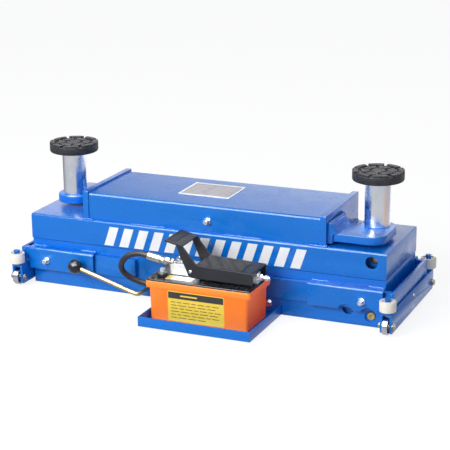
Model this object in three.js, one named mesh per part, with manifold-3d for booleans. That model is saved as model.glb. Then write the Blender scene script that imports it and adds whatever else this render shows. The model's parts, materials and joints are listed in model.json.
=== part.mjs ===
// A low scissor bridge jack that rolls between the runways of a four-post lift or along a pit.
// A base box and a platform box are joined by two crossed arm frames. Each end of the platform
// carries a telescopic arm with a lift-out post and a rubber pad, and each end of the base
// carries a sliding end carriage with wheels. An air-hydraulic foot pump stands on a side tray.
//
// Millimetres. X runs along the jack, -Y is the pump side, +Z is up. The origin is the centre
// of the base's floor, on its underside. The walls reach a little lower.
import * as THREE from "three";
import { mergeVertices } from "three/addons/utils/BufferGeometryUtils.js";
import Module from "manifold-3d";

const wasm = await Module();
wasm.setup();

// ---------------------------------------------------------------- driving dimensions

const SHEET = 5; // wall thickness of the folded boxes
const SIDES = 16; // facets of pins, bores and other small round parts
const ROUND = 30; // facets of the large round parts that show
const RUNNING = 0.05; // radial clearance of a turning or sliding fit
const SEAT = 0.3; // gap between a part and the neighbour it is seated in

const BASE = { halfLength: 453.5, halfWidth: 118.5, height: 111, skirt: 2.6, bend: 3 };
const PLATFORM = { halfLength: 455, halfWidth: 120, bottom: 112.5, top: 174.5, bend: 6 };
const BOX = { halfLength: 296.5, halfWidth: 113, top: 240, bend: 7 };
const BOX_FLANGE = { thickness: 14, halfWidth: 116.5, bottom: 176.5, top: 245.5 };
const BOX_MOUTH = { y: [-107, -3], top: 231 }; // where the right-hand arm comes out

const PIVOT_X = 420; // both fixed scissor pivots stand at this end
const LOWER_PIVOT_Z = 22.8;
const UPPER_PIVOT_Z = 150.6;
const SCISSOR_REACH = 770; // horizontal distance from a fixed pivot to its arm's free end
const PIVOT_PIN = 10; // radius
const ACCESS_HOLE = 14.5; // radius of the holes in the box walls opposite the pins
const OUTER_ARM_Y = [96, 106];
const INNER_ARM_Y = [80, 90];
const ARM_END = 16; // radius of an arm plate's rounded end
const ARM_MIDDLE = 23; // radius of its swell round the centre pin
const CENTRE_PIN = 12;

const CYLINDER = { pinX: 366, z: 36, outer: 27, piston: 21, left: 40, right: 340, rod: 11 };

const ARM_TUBE = { inner: 280, outer: 320.5, near: 5, far: 105, bottom: 179, top: 229, wall: 6 };
const ARM_PLATE = { bottom: 184, top: 203, outerX: 439, front: 100, back: 42, corner: 36 };
const POST = { x: 394.7, radius: 30, spigot: 20, top: 311 };
const PAD = { radius: 60, top: 335 };

const SLEEVE = { inner: 276, outer: 454, side: 141.7, bottom: 38.5, top: 94.2, wall: 4, bend: 6 };
const SLEEVE_NOTCHES = { anchor: 17, pivot: 20, pivotZ: 31 }; // radii, and the pivot notch's height
const LOCK_BOLT = { x: 405, z: 64.3, shank: 4, head: 13 };
const BOX_BOLT = { x: 17, z: 203 };
const CARRIAGE_ARM = { inner: 168, near: 119.5, far: 131, bottom: 43, top: 89.7 };
const CROSS_PLATE = { inner: 472, outer: 479, halfWidth: 133, bottom: 58, top: 90 };
const CHANNEL = { inner: 458, outer: 485, halfWidth: 172, bottom: 6.5, top: 55 };
const HEAD = 13; // width across the flats of the carriages' hexagons
const CHANNEL_WALL = 5;
const CHANNEL_CHAMFER = 5;
const WHEEL = { x: 471.5, y: 164, z: 23, radius: 20, width: 12.5, axle: 5 };
const GUIDE = { x: 473.7, y: 166, radius: 19, bottom: 59, top: 84.5, pin: 6, collar: 10 };

const TRAY = { left: -70.5, right: 205, front: -314, lip: 23, sheet: 3, upstand: 40 };
const TRAY_BOLTS = { x: [-37, 173], z: 24, shank: 4, head: 13 };
const TANK = { left: -70, right: 188.5, front: -272, back: -146, bottom: 3.5, top: 97, lip: 16 };
const TANK_INSET = 7; // of the body's ends behind the lip, and half as much of its long sides
const COVER_TOP = 101;
const PUMP_BLOCK = { left: -30, right: 44, front: -221, back: -183, top: 127 };
const MOTOR = { right: 184, y: -207, z: 114, radius: 10.5, endBlock: 17, endHalf: 11 };
const TREADLE = { front: -252, back: -167, sheet: 4 };
const TREADLE_PIN = { x: 35, z: 124, radius: 4 };
const VENT = { x: -43, y: -235, skirt: 13, cap: 6 };
const OUTLET = { y: -198, z: 119, tilt: 10, left: -99 }; // tilt in degrees, up to the left
const HOSE_RADIUS = 7;
const HOSE_PORT = { x: -14, z: 56 };

const LEVER = { x: -141, z: 18.6, rod: 5, bendY: -170, knobX: -309.5, knobZ: 69, knob: 17.5 };
const PAWL = { reach: 27, angle: THREE.MathUtils.degToRad(20), halfWidth: 5 };
const PAWL_HUB = { radius: 9, y: [-75, -65] };
const RACK = { y: [-76, -64], bottom: 31, top: 44, right: -150, pitch: 12, tooth: 4 };

const blue = new THREE.MeshStandardMaterial({ color: 0x1f66c4, roughness: 0.35, metalness: 0.1 });
const orange = new THREE.MeshStandardMaterial({ color: 0xff7a22, roughness: 0.35 });
const blackPaint = new THREE.MeshStandardMaterial({ color: 0x161618, roughness: 0.4 });
const rubber = new THREE.MeshStandardMaterial({ color: 0x1b1b1d, roughness: 0.8 });
const zinc = new THREE.MeshStandardMaterial({ color: 0xc9ccd0, roughness: 0.3, metalness: 0.9 });
const yellowZinc = new THREE.MeshStandardMaterial({ color: 0xcdbf78, roughness: 0.35, metalness: 0.8 });
const steel = new THREE.MeshStandardMaterial({ color: 0x8f9296, roughness: 0.4, metalness: 0.9 });
const aluminium = new THREE.MeshStandardMaterial({ color: 0xd8dadc, roughness: 0.45, metalness: 0.7 });
const nylon = new THREE.MeshStandardMaterial({ color: 0xece8de, roughness: 0.5 });

// ---------------------------------------------------------------- solids

// A closed three.js geometry as a solid that can be joined and cut.
function solid(geometry) {
  geometry.deleteAttribute("normal");
  geometry.deleteAttribute("uv");
  const merged = mergeVertices(geometry, 1e-4);
  return new wasm.Manifold(
    new wasm.Mesh({
      numProp: 3,
      vertProperties: new Float32Array(merged.attributes.position.array),
      triVerts: new Uint32Array(merged.index.array),
    }),
  );
}

function join(...solids) {
  return solids.reduce((a, b) => a.add(b));
}

function cut(body, ...tools) {
  return tools.reduce((a, b) => a.subtract(b), body);
}

// A block between two limits on each axis, given in either order.
function block([x0, x1], [y0, y1], [z0, z1]) {
  const geometry = new THREE.BoxGeometry(Math.abs(x1 - x0), Math.abs(y1 - y0), Math.abs(z1 - z0));
  geometry.translate((x0 + x1) / 2, (y0 + y1) / 2, (z0 + z1) / 2);
  return solid(geometry);
}

// Where a sketch's two directions and its depth point, for a sketch extruded along each axis.
const BASES = {
  x: [new THREE.Vector3(0, 1, 0), new THREE.Vector3(0, 0, 1), new THREE.Vector3(1, 0, 0)],
  y: [new THREE.Vector3(1, 0, 0), new THREE.Vector3(0, 0, 1), new THREE.Vector3(0, -1, 0)],
  z: [new THREE.Vector3(1, 0, 0), new THREE.Vector3(0, 1, 0), new THREE.Vector3(0, 0, 1)],
};

// A sketch extruded along an axis: drawn in (y, z) for x, in (x, z) for y, in (x, y) for z.
function extrude(shape, axis, from, to, curveSegments = 6) {
  const low = Math.min(from, to);
  const high = Math.max(from, to);
  const geometry = new THREE.ExtrudeGeometry(shape, {
    depth: high - low,
    bevelEnabled: false,
    curveSegments,
  });
  geometry.applyMatrix4(new THREE.Matrix4().makeBasis(...BASES[axis]));
  const shift = { x: [low, 0, 0], y: [0, high, 0], z: [0, 0, low] };
  geometry.translate(...shift[axis]);
  return solid(geometry);
}

// A cylinder along an axis, through a point given by its other two coordinates in x, y, z order.
function rod(axis, radius, [a, b], [from, to], sides = SIDES) {
  const geometry = new THREE.CylinderGeometry(radius, radius, Math.abs(to - from), sides);
  const middle = (from + to) / 2;
  if (axis === "x") {
    geometry.rotateZ(Math.PI / 2).translate(middle, a, b);
  } else if (axis === "y") {
    geometry.translate(a, middle, b);
  } else {
    geometry.rotateX(Math.PI / 2).translate(a, b, middle);
  }
  return solid(geometry);
}

// The radius of a faceted hole that a turning shaft of this radius just clears.
function bore(shaft, sides = SIDES) {
  return (shaft + RUNNING) / Math.cos(Math.PI / sides);
}

function polygon(points) {
  return new THREE.Shape(points.map(([a, b]) => new THREE.Vector2(a, b)));
}

// A rectangle whose four corners have their own radii: low-low, high-low, high-high, low-high.
function roundedRectangle([a0, a1], [b0, b1], [r0, r1, r2, r3]) {
  const shape = new THREE.Shape();
  shape.moveTo(a0 + r0, b0);
  shape.lineTo(a1 - r1, b0);
  if (r1) shape.absarc(a1 - r1, b0 + r1, r1, -Math.PI / 2, 0, false);
  shape.lineTo(a1, b1 - r2);
  if (r2) shape.absarc(a1 - r2, b1 - r2, r2, 0, Math.PI / 2, false);
  shape.lineTo(a0 + r3, b1);
  if (r3) shape.absarc(a0 + r3, b1 - r3, r3, Math.PI / 2, Math.PI, false);
  shape.lineTo(a0, b0 + r0);
  if (r0) shape.absarc(a0 + r0, b0 + r0, r0, Math.PI, Math.PI * 1.5, false);
  return shape;
}

// A hexagon head or nut along an axis; size is its width across flats.
function hexagon(axis, size, centre, span) {
  return rod(axis, size / Math.sqrt(3), centre, span, 6);
}

// A mirrored or half-turned copy of a solid. Both keep its faces pointing out.
function mirrored(body, normal) {
  return body.mirror(normal);
}

function halfTurned(body) {
  return body.rotate([0, 0, 180]);
}

const root = new THREE.Group();

// Adds a solid to a group as a named mesh.
function part(group, name, body, material) {
  const { vertProperties, triVerts, numProp } = body.getMesh();
  const points = new Float32Array((vertProperties.length / numProp) * 3);
  for (let i = 0; i * 3 < points.length; i += 1) {
    points.set(vertProperties.subarray(i * numProp, i * numProp + 3), i * 3);
  }
  const geometry = new THREE.BufferGeometry();
  geometry.setAttribute("position", new THREE.BufferAttribute(points, 3));
  geometry.setIndex(new THREE.BufferAttribute(new Uint32Array(triVerts), 1));
  geometry.computeVertexNormals();
  const mesh = new THREE.Mesh(geometry, material);
  mesh.name = name;
  group.add(mesh);
}

// Each moving assembly is one group.
function assembly() {
  const group = new THREE.Group();
  root.add(group);
  return group;
}

// ---------------------------------------------------------------- base

const INNER_WALL = BASE.halfWidth - SHEET;

// The pair of lugs beside one outer arm plate, that hold the lower pivot pin.
function lowerPivotLugs(side) {
  const outline = roundedRectangle([PIVOT_X - 24, PIVOT_X + 24], [SHEET - 1, 44], [0, 0, 16, 16]);
  const outer = extrude(outline, "y", side * 107.5, side * (INNER_WALL + 1), 3);
  const inner = extrude(outline, "y", side * 92, side * 95, 3);
  return join(outer, inner);
}

function baseFrame() {
  const { halfLength, halfWidth, height, skirt, bend } = BASE;
  const outline = roundedRectangle([-halfWidth, halfWidth], [-skirt, height], [bend, bend, 0, 0]);
  const insideX = [-halfLength + SHEET, halfLength - SHEET];
  const insideY = [-INNER_WALL, INNER_WALL];
  let frame = cut(
    extrude(outline, "x", -halfLength, halfLength, 4),
    block(insideX, insideY, [SHEET, height + 1]),
    block(insideX, insideY, [-skirt - 1, 0]),
  );
  // Lugs for the cylinder's anchor pin.
  const anchorLug = roundedRectangle(
    [CYLINDER.pinX - 16, CYLINDER.pinX + 16],
    [SHEET - 1, CYLINDER.z + 16],
    [0, 0, 12, 12],
  );
  // Bearing lug for the inner end of the lock lever's shaft.
  const shaftLug = roundedRectangle([LEVER.x - 13, LEVER.x + 13], [SHEET - 1, 32], [0, 0, 8, 8]);
  // Bung that the pump's hose is screwed to.
  const bung = rod("y", 12, [HOSE_PORT.x, HOSE_PORT.z], [-halfWidth - 6, -INNER_WALL]);
  frame = join(
    frame,
    lowerPivotLugs(1),
    lowerPivotLugs(-1),
    extrude(anchorLug, "y", 20, 28, 3),
    extrude(anchorLug, "y", -28, -20, 3),
    extrude(shaftLug, "y", -56, -48, 3),
    bung,
  );
  const pinBore = rod(
    "y",
    PIVOT_PIN + SEAT,
    [PIVOT_X, LOWER_PIVOT_Z],
    [-INNER_WALL - 1, INNER_WALL + 1],
  );
  const walls = [-halfWidth - 1, halfWidth + 1];
  const pinAccess = rod("y", ACCESS_HOLE, [PIVOT_X, LOWER_PIVOT_Z], walls, ROUND);
  const anchorAccess = rod("y", ACCESS_HOLE, [CYLINDER.pinX, CYLINDER.z], walls, ROUND);
  const keepLugs = block([PIVOT_X - 30, PIVOT_X + 30], [-INNER_WALL, INNER_WALL], [0, height]);
  return cut(
    frame,
    pinBore,
    cut(pinAccess, keepLugs),
    anchorAccess.subtract(block([300, 400], [-INNER_WALL, INNER_WALL], [0, height])),
    rod("y", CYLINDER.rod + SEAT, [CYLINDER.pinX, CYLINDER.z], [-30, 30]),
    rod("y", bore(LEVER.rod), [LEVER.x, LEVER.z], [-halfWidth - 1, -46]),
    rod("y", HOSE_RADIUS + SEAT, [HOSE_PORT.x, HOSE_PORT.z], [-halfWidth - 8, -halfWidth - 1]),
  );
}

// One sleeve on the +x, +y side: a channel on its side that guides a carriage arm.
function sleeve(notched) {
  const { inner, outer, side, bottom, top, wall, bend } = SLEEVE;
  const outline = roundedRectangle([BASE.halfWidth, side], [bottom, top], [0, bend, bend, 0]);
  let body = cut(
    extrude(outline, "x", inner, outer, 4),
    block(
      [inner - 1, outer + 1],
      [BASE.halfWidth - 1, side - wall],
      [bottom + wall, top - wall],
    ),
    rod("y", LOCK_BOLT.shank + SEAT, [LOCK_BOLT.x, LOCK_BOLT.z], [side - 10, side + 1]),
  );
  if (notched) {
    const span = [BASE.halfWidth - 1, side + 1];
    body = cut(
      body,
      rod("y", SLEEVE_NOTCHES.anchor, [CYLINDER.pinX, CYLINDER.z], span, ROUND),
      rod("y", SLEEVE_NOTCHES.pivot, [PIVOT_X, SLEEVE_NOTCHES.pivotZ], span, ROUND),
    );
  }
  return body;
}

// A hexagon screw with a lock nut on the +x, +y sleeve, that clamps the carriage arm.
function lockBolt() {
  const centre = [LOCK_BOLT.x, LOCK_BOLT.z];
  const face = SLEEVE.side;
  return join(
    rod("y", LOCK_BOLT.shank, centre, [CARRIAGE_ARM.far + SEAT, face + 12]),
    hexagon("y", LOCK_BOLT.head, centre, [face + 0.1, face + 5]),
    hexagon("y", LOCK_BOLT.head - 2, centre, [face + 8, face + 14]),
  );
}

// ---------------------------------------------------------------- hydraulic cylinder

function cylinderBarrel() {
  const { pinX, z, outer, piston, left, right, rod: rodRadius } = CYLINDER;
  const gland = 24;
  const eye = roundedRectangle([right - 1, pinX + 15], [z - 15, z + 15], [0, 14, 14, 0]);
  return cut(
    join(
      rod("x", outer, [0, z], [left, right]),
      rod("x", outer - 4, [0, z], [left - 8, left]),
      extrude(eye, "y", -18, 18),
    ),
    rod("x", bore(piston), [0, z], [left + gland, right - 18]),
    rod("x", bore(rodRadius), [0, z], [left - 10, left + gland + 1]),
    rod("y", rodRadius + SEAT, [pinX, z], [-19, 19]),
  );
}

function cylinderRod() {
  const { z, piston, rod: radius } = CYLINDER;
  const pistonLeft = 90;
  return join(
    rod("x", radius, [0, z], [CROSSHEAD_X + 28 + SEAT, pistonLeft + 1]),
    rod("x", piston, [0, z], [pistonLeft, pistonLeft + 22]),
  );
}

// ---------------------------------------------------------------- scissor arms

const CROSSHEAD_X = PIVOT_X - SCISSOR_REACH;
const CENTRE_X = PIVOT_X - SCISSOR_REACH / 2;
const CENTRE_Z = (LOWER_PIVOT_Z + UPPER_PIVOT_Z) / 2;

// One arm plate: its rounded ends at (x0, z0) and (x1, z1), swelling round the centre pin.
function armPlate([x0, z0], [x1, z1], span) {
  const slope = Math.atan2(z1 - z0, x1 - x0);
  const length = Math.hypot(x1 - x0, z1 - z0);
  const half = length / 2;
  const shoulder = 150;
  const shape = new THREE.Shape();
  shape.absarc(0, 0, ARM_END, Math.PI / 2, Math.PI * 1.5, false);
  shape.lineTo(half - shoulder, -ARM_END);
  shape.lineTo(half - shoulder / 4, -ARM_MIDDLE);
  shape.lineTo(half + shoulder / 4, -ARM_MIDDLE);
  shape.lineTo(half + shoulder, -ARM_END);
  shape.absarc(length, 0, ARM_END, -Math.PI / 2, Math.PI / 2, false);
  shape.lineTo(half + shoulder, ARM_END);
  shape.lineTo(half + shoulder / 4, ARM_MIDDLE);
  shape.lineTo(half - shoulder / 4, ARM_MIDDLE);
  shape.lineTo(half - shoulder, ARM_END);
  const degrees = THREE.MathUtils.radToDeg(slope);
  return extrude(shape, "y", span[0], span[1], 5).rotate([0, -degrees, 0]).translate([x0, 0, z0]);
}

// A frame of two arm plates and a cross tube, bored for its three pins.
function armFrame(start, end, [near, far], tubeShare, boreAt) {
  const tubeX = start[0] + (end[0] - start[0]) * tubeShare;
  const tubeZ = start[1] + (end[1] - start[1]) * tubeShare;
  return cut(
    join(
      armPlate(start, end, [near, far]),
      armPlate(start, end, [-far, -near]),
      rod("y", 13, [tubeX, tubeZ], [-near - 1, near + 1]),
    ),
    ...boreAt.map(([x, z, radius]) => rod("y", bore(radius), [x, z], [-far - 1, far + 1])),
  );
}

const ROLLER_SHAFT = 9;
const UPPER_ROLLER = 19;
const LOWER_ROLLER = 17.6;

// The outer frame runs from the lower fixed pivot up to the rollers under the platform.
function outerArms() {
  const free = [CROSSHEAD_X, UPPER_PIVOT_Z];
  const frame = armFrame(
    [PIVOT_X, LOWER_PIVOT_Z],
    free,
    OUTER_ARM_Y,
    0.8,
    [
      [PIVOT_X, LOWER_PIVOT_Z, PIVOT_PIN],
      [CENTRE_X, CENTRE_Z, CENTRE_PIN],
    ],
  );
  const stub = (side) => rod("y", ROLLER_SHAFT, free, [side * 80, side * 97]);
  return join(frame, stub(1), stub(-1));
}

// The inner frame runs from the upper fixed pivot down to the crosshead.
function innerArms() {
  return armFrame(
    [PIVOT_X, UPPER_PIVOT_Z],
    [CROSSHEAD_X, LOWER_PIVOT_Z],
    INNER_ARM_Y,
    0.2,
    [
      [PIVOT_X, UPPER_PIVOT_Z, PIVOT_PIN],
      [CENTRE_X, CENTRE_Z, CENTRE_PIN],
      [CROSSHEAD_X, LOWER_PIVOT_Z, ROLLER_SHAFT],
    ],
  );
}

function roller(radius, centre, [near, far]) {
  return cut(
    rod("y", radius, centre, [near, far], ROUND),
    rod("y", bore(ROLLER_SHAFT), centre, [near - 1, far + 1]),
  );
}

// The crosshead: roller shaft, rod block and the toothed rack of the mechanical lock.
function crosshead() {
  const rack = new THREE.Shape();
  const left = CROSSHEAD_X + 20;
  rack.moveTo(left, RACK.top);
  rack.lineTo(left, RACK.bottom + RACK.tooth);
  const teeth = Math.floor((RACK.right - left - 20) / RACK.pitch);
  for (let i = 0; i < teeth; i += 1) {
    const x = RACK.right - (teeth - i) * RACK.pitch;
    rack.lineTo(x, RACK.bottom + RACK.tooth);
    rack.lineTo(x + RACK.pitch * 0.25, RACK.bottom);
    rack.lineTo(x + RACK.pitch, RACK.bottom);
  }
  rack.lineTo(RACK.right, RACK.top);
  return join(
    rod("y", ROLLER_SHAFT, [CROSSHEAD_X, LOWER_PIVOT_Z], [-105, 105]),
    block([CROSSHEAD_X - 22, CROSSHEAD_X + 28], [-77, 77], [9, 52]),
    extrude(rack, "y", ...RACK.y),
  );
}

// ---------------------------------------------------------------- mechanical lock lever

// A round bar between two points.
function bar(from, to, radius) {
  const along = to.clone().sub(from);
  const geometry = new THREE.CylinderGeometry(radius, radius, along.length(), SIDES);
  const up = new THREE.Vector3(0, 1, 0);
  geometry.applyQuaternion(new THREE.Quaternion().setFromUnitVectors(up, along.normalize()));
  const middle = from.clone().add(to).multiplyScalar(0.5);
  geometry.translate(middle.x, middle.y, middle.z);
  return solid(geometry);
}

// The cranked handle, its shaft into the base, and the pawl on the shaft.
function lockLever() {
  const { x, z, rod: radius, bendY, knobX, knobZ } = LEVER;
  const bend = new THREE.Vector3(x, bendY, z);
  const knobEnd = new THREE.Vector3(knobX, bendY, knobZ);
  const elbow = new THREE.SphereGeometry(radius, 10, 6).translate(x, bendY, z);
  const tip = [x + PAWL.reach * Math.cos(PAWL.angle), z + PAWL.reach * Math.sin(PAWL.angle)];
  const across = [-Math.sin(PAWL.angle) * PAWL.halfWidth, Math.cos(PAWL.angle) * PAWL.halfWidth];
  const finger = polygon([
    [x - across[0], z - across[1]],
    [tip[0] - across[0], tip[1] - across[1]],
    tip,
    [x + across[0] * 1.6, z + across[1] * 1.6],
  ]);
  return join(
    bar(knobEnd.lerp(bend, 0.06), bend, radius),
    solid(elbow),
    rod("y", radius, [x, z], [bendY, -47.5]),
    rod("y", PAWL_HUB.radius, [x, z], PAWL_HUB.y),
    extrude(finger, "y", ...PAWL_HUB.y),
  );
}

function leverKnob() {
  const { knobX, knobZ, bendY, knob, x, z, rod: radius } = LEVER;
  const direction = new THREE.Vector3(knobX - x, 0, knobZ - z).normalize();
  const ball = new THREE.SphereGeometry(knob, 12, 8);
  ball.translate(knobX, bendY, knobZ);
  const hole = new THREE.CylinderGeometry(radius + 0.5, radius + 0.5, 24, 12);
  hole.applyQuaternion(
    new THREE.Quaternion().setFromUnitVectors(new THREE.Vector3(0, 1, 0), direction),
  );
  hole.translate(knobX - direction.x * 19.5, bendY, knobZ - direction.z * 19.5);
  return cut(solid(ball), solid(hole));
}

// ---------------------------------------------------------------- platform and telescope box

function platformChannel() {
  const { halfLength, halfWidth, bottom, top, bend } = PLATFORM;
  const outline = roundedRectangle([-halfWidth, halfWidth], [bottom, top], [0, 0, bend, bend]);
  const wall = halfWidth - SHEET;
  const ceiling = top - SHEET + 0.5;
  const shell = cut(
    extrude(outline, "x", -halfLength, halfLength, 4),
    block([-halfLength + SHEET, halfLength - SHEET], [-wall, wall], [bottom - 1, ceiling]),
  );
  const lug = roundedRectangle([PIVOT_X - 22, PIVOT_X + 22], [133, ceiling + 1], [14, 14, 0, 0]);
  const rails = [-1, 1].map((side) =>
    block([-285, 285], [side * 10, side * 100], [top - 1, ARM_TUBE.bottom - SEAT]),
  );
  return cut(
    join(
      shell,
      extrude(lug, "y", 91, 95.5, 3),
      extrude(lug, "y", -95.5, -91, 3),
      extrude(lug, "y", 74, 79, 3),
      extrude(lug, "y", -79, -74, 3),
      ...rails,
    ),
    rod("y", ACCESS_HOLE, [PIVOT_X, UPPER_PIVOT_Z], [-halfWidth - 1, -wall + 1], ROUND),
    rod("y", ACCESS_HOLE, [PIVOT_X, UPPER_PIVOT_Z], [wall - 1, halfWidth + 1], ROUND),
    rod("y", PIVOT_PIN + SEAT, [PIVOT_X, UPPER_PIVOT_Z], [-97, 97]),
  );
}

// The housing of the two telescopic arms: an upside-down channel with a divider and two
// end flanges. Each flange is open where its arm comes out, and the other half is closed.
function telescopeBox() {
  const { halfLength, halfWidth, top, bend } = BOX;
  const floor = PLATFORM.top;
  const outline = roundedRectangle([-halfWidth, halfWidth], [floor, top], [0, 0, bend, bend]);
  const wall = halfWidth - SHEET;
  const channels = [-1, 1].map((side) =>
    block([-halfLength - 1, halfLength + 1], [side * 3, side * wall], [floor - 1, top - SHEET]),
  );
  const flange = BOX_FLANGE;
  const plate = roundedRectangle(
    [-flange.halfWidth, flange.halfWidth],
    [flange.bottom, flange.top],
    [0, 0, 2, 2],
  );
  const end = halfLength + flange.thickness;
  const rightFlange = cut(
    extrude(plate, "x", halfLength, end, 2),
    block([halfLength - 1, end + 1], BOX_MOUTH.y, [floor - 1, BOX_MOUTH.top]),
  );
  const screwHole = rod(
    "y",
    LOCK_BOLT.shank + SEAT,
    [BOX_BOLT.x, BOX_BOLT.z],
    [-halfWidth - 1, -wall + 1],
  );
  return cut(
    join(
      cut(extrude(outline, "x", -halfLength, halfLength, 4), ...channels),
      rightFlange,
      halfTurned(rightFlange),
    ),
    screwHole,
    halfTurned(screwHole),
  );
}

// The screw in the telescope box's front wall, that clamps the right-hand arm.
function boxBolt() {
  const centre = [BOX_BOLT.x, BOX_BOLT.z];
  const face = -BOX.halfWidth;
  return join(
    rod("y", LOCK_BOLT.shank, centre, [face - 12, -ARM_TUBE.far - SEAT]),
    hexagon("y", LOCK_BOLT.head, centre, [face - 5, face - 0.1]),
    hexagon("y", LOCK_BOLT.head - 2, centre, [face - 14, face - 8]),
  );
}

// The right-hand telescopic arm: a square-cut tube with a post plate welded to its end.
function extensionArm() {
  const { inner, outer, near, far, bottom, top, wall } = ARM_TUBE;
  const tube = cut(
    block([-inner, outer], [-far, -near], [bottom, top]),
    block([-inner - 1, outer - wall], [-far + wall, -near - wall], [bottom + wall, top - wall]),
  );
  const { front, back, outerX, corner } = ARM_PLATE;
  const plate = new THREE.Shape();
  const nose = outerX - POST.x;
  plate.moveTo(outer - 2, -front);
  plate.lineTo(outerX - corner, -front);
  plate.absarc(outerX - corner, -front + corner, corner, -Math.PI / 2, 0, false);
  plate.lineTo(outerX, back - nose);
  plate.absarc(POST.x, back - nose, nose, 0, Math.PI, false);
  plate.lineTo(POST.x - nose, -near);
  plate.lineTo(outer - 2, -near);
  return cut(
    join(tube, extrude(plate, "z", ARM_PLATE.bottom, ARM_PLATE.top, 8)),
    rod("z", bore(POST.spigot), [POST.x, 0], [ARM_PLATE.bottom - 1, ARM_PLATE.top + 1]),
  );
}

function post() {
  return join(
    rod("z", POST.radius, [POST.x, 0], [ARM_PLATE.top, POST.top], 40),
    rod("z", POST.spigot, [POST.x, 0], [ARM_PLATE.bottom, ARM_PLATE.top + 1]),
  );
}

function pad() {
  return rod("z", PAD.radius, [POST.x, 0], [POST.top, PAD.top], 40);
}

// ---------------------------------------------------------------- end carriages

// The right-hand end carriage: two sleeve arms, a cross plate and a wheel channel.
function carriage() {
  const arm = CARRIAGE_ARM;
  const channel = CHANNEL;
  const plate = CROSS_PLATE;
  const arms = [-1, 1].map((y) =>
    block([arm.inner, plate.inner + 1], [y * arm.near, y * arm.far], [arm.bottom, arm.top]),
  );
  const side = polygon([
    [-channel.halfWidth + CHANNEL_CHAMFER, channel.bottom],
    [channel.halfWidth - CHANNEL_CHAMFER, channel.bottom],
    [channel.halfWidth, channel.bottom + CHANNEL_CHAMFER],
    [channel.halfWidth, channel.top],
    [-channel.halfWidth, channel.top],
    [-channel.halfWidth, channel.bottom + CHANNEL_CHAMFER],
  ]);
  const profile = cut(
    extrude(side, "x", channel.inner, channel.outer),
    block(
      [channel.inner + CHANNEL_WALL, channel.outer - CHANNEL_WALL],
      [-channel.halfWidth - 1, channel.halfWidth + 1],
      [channel.bottom - 1, channel.top - CHANNEL_WALL],
    ),
  );
  const crossPlate = block(
    [plate.inner, plate.outer],
    [-plate.halfWidth, plate.halfWidth],
    [plate.bottom, plate.top],
  );
  // A short web at each end joins the cross plate to the channel.
  const webs = [-1, 1].map((y) =>
    block(
      [plate.inner, plate.outer],
      [y * arm.near, y * plate.halfWidth],
      [channel.top - 1, plate.bottom + 1],
    ),
  );
  // Each guide roller turns on a pin with a collar under it and a hexagon head on top.
  const pins = [-1, 1].map((y) => {
    const centre = [GUIDE.x, y * GUIDE.y];
    return join(
      rod("z", GUIDE.pin, centre, [channel.top - 1, GUIDE.top + 1]),
      rod("z", GUIDE.collar, centre, [channel.top - 1, GUIDE.bottom - 1]),
      hexagon("z", HEAD, centre, [GUIDE.top + 0.5, GUIDE.top + 7]),
    );
  });
  const axleHoles = [-1, 1].map((y) =>
    rod("x", WHEEL.axle + SEAT, [y * WHEEL.y, WHEEL.z], [channel.inner - 1, channel.outer + 1]),
  );
  return cut(join(profile, crossPlate, ...arms, ...webs, ...pins), ...axleHoles);
}

function wheel() {
  const { x, y, z, radius, width, axle } = WHEEL;
  const span = [x - width / 2, x + width / 2];
  return cut(
    rod("x", radius, [y, z], span, ROUND),
    rod("x", bore(axle), [y, z], [span[0] - 1, span[1] + 1]),
  );
}

function axleBolt() {
  const { y, z, axle } = WHEEL;
  return join(
    rod("x", axle, [y, z], [CHANNEL.inner - 7, CHANNEL.outer + 5]),
    hexagon("x", HEAD, [y, z], [CHANNEL.outer + 0.3, CHANNEL.outer + 6]),
    hexagon("x", HEAD, [y, z], [CHANNEL.inner - 5, CHANNEL.inner - 0.3]),
  );
}

function guideRoller() {
  const { x, y, radius, bottom, top, pin } = GUIDE;
  return cut(
    rod("z", radius, [x, y], [bottom, top], ROUND),
    rod("z", bore(pin), [x, y], [bottom - 1, top + 1]),
  );
}

// ---------------------------------------------------------------- foot pump

function pumpTray() {
  const { left, right, front, lip, sheet, upstand } = TRAY;
  const back = -BASE.halfWidth - SEAT;
  const holes = TRAY_BOLTS.x.map((x) =>
    rod("y", TRAY_BOLTS.shank + SEAT, [x, TRAY_BOLTS.z], [back - 10, back + 1]),
  );
  return cut(
    join(
      block([left, right], [front, back], [0, sheet]),
      block([left, right], [front, front + sheet], [0, lip]),
      block([left, left + sheet], [front, back], [0, lip]),
      block([right - sheet, right], [front, back], [0, lip]),
      block([left, right], [back - sheet, back], [0, upstand]),
    ),
    ...holes,
  );
}

function trayBolt(x) {
  const { z, shank, head } = TRAY_BOLTS;
  const face = -BASE.halfWidth - SEAT - TRAY.sheet;
  return join(
    rod("y", shank, [x, z], [face - 3, -BASE.halfWidth - 0.1]),
    hexagon("y", head, [x, z], [face - 7, face - 0.1]),
  );
}

// The oil tank: a body with rounded corners under a wider lip.
function tank() {
  const { left, right, front, back, bottom, top, lip } = TANK;
  const corner = Array(4).fill(6);
  const inset = TANK_INSET;
  const lipOutline = roundedRectangle([left, right], [front, back], corner);
  const bodyOutline = roundedRectangle(
    [left + inset, right - inset],
    [front + inset / 2, back - inset / 2],
    corner,
  );
  return join(
    extrude(lipOutline, "z", top - lip, top, 4),
    extrude(bodyOutline, "z", bottom, top - lip + 1, 4),
  );
}

function tankCover() {
  const outline = roundedRectangle(
    [TANK.left + 1, TANK.right - 1],
    [TANK.front + 1, TANK.back - 1],
    Array(4).fill(5),
  );
  return extrude(outline, "z", TANK.top, COVER_TOP, 4);
}

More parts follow.
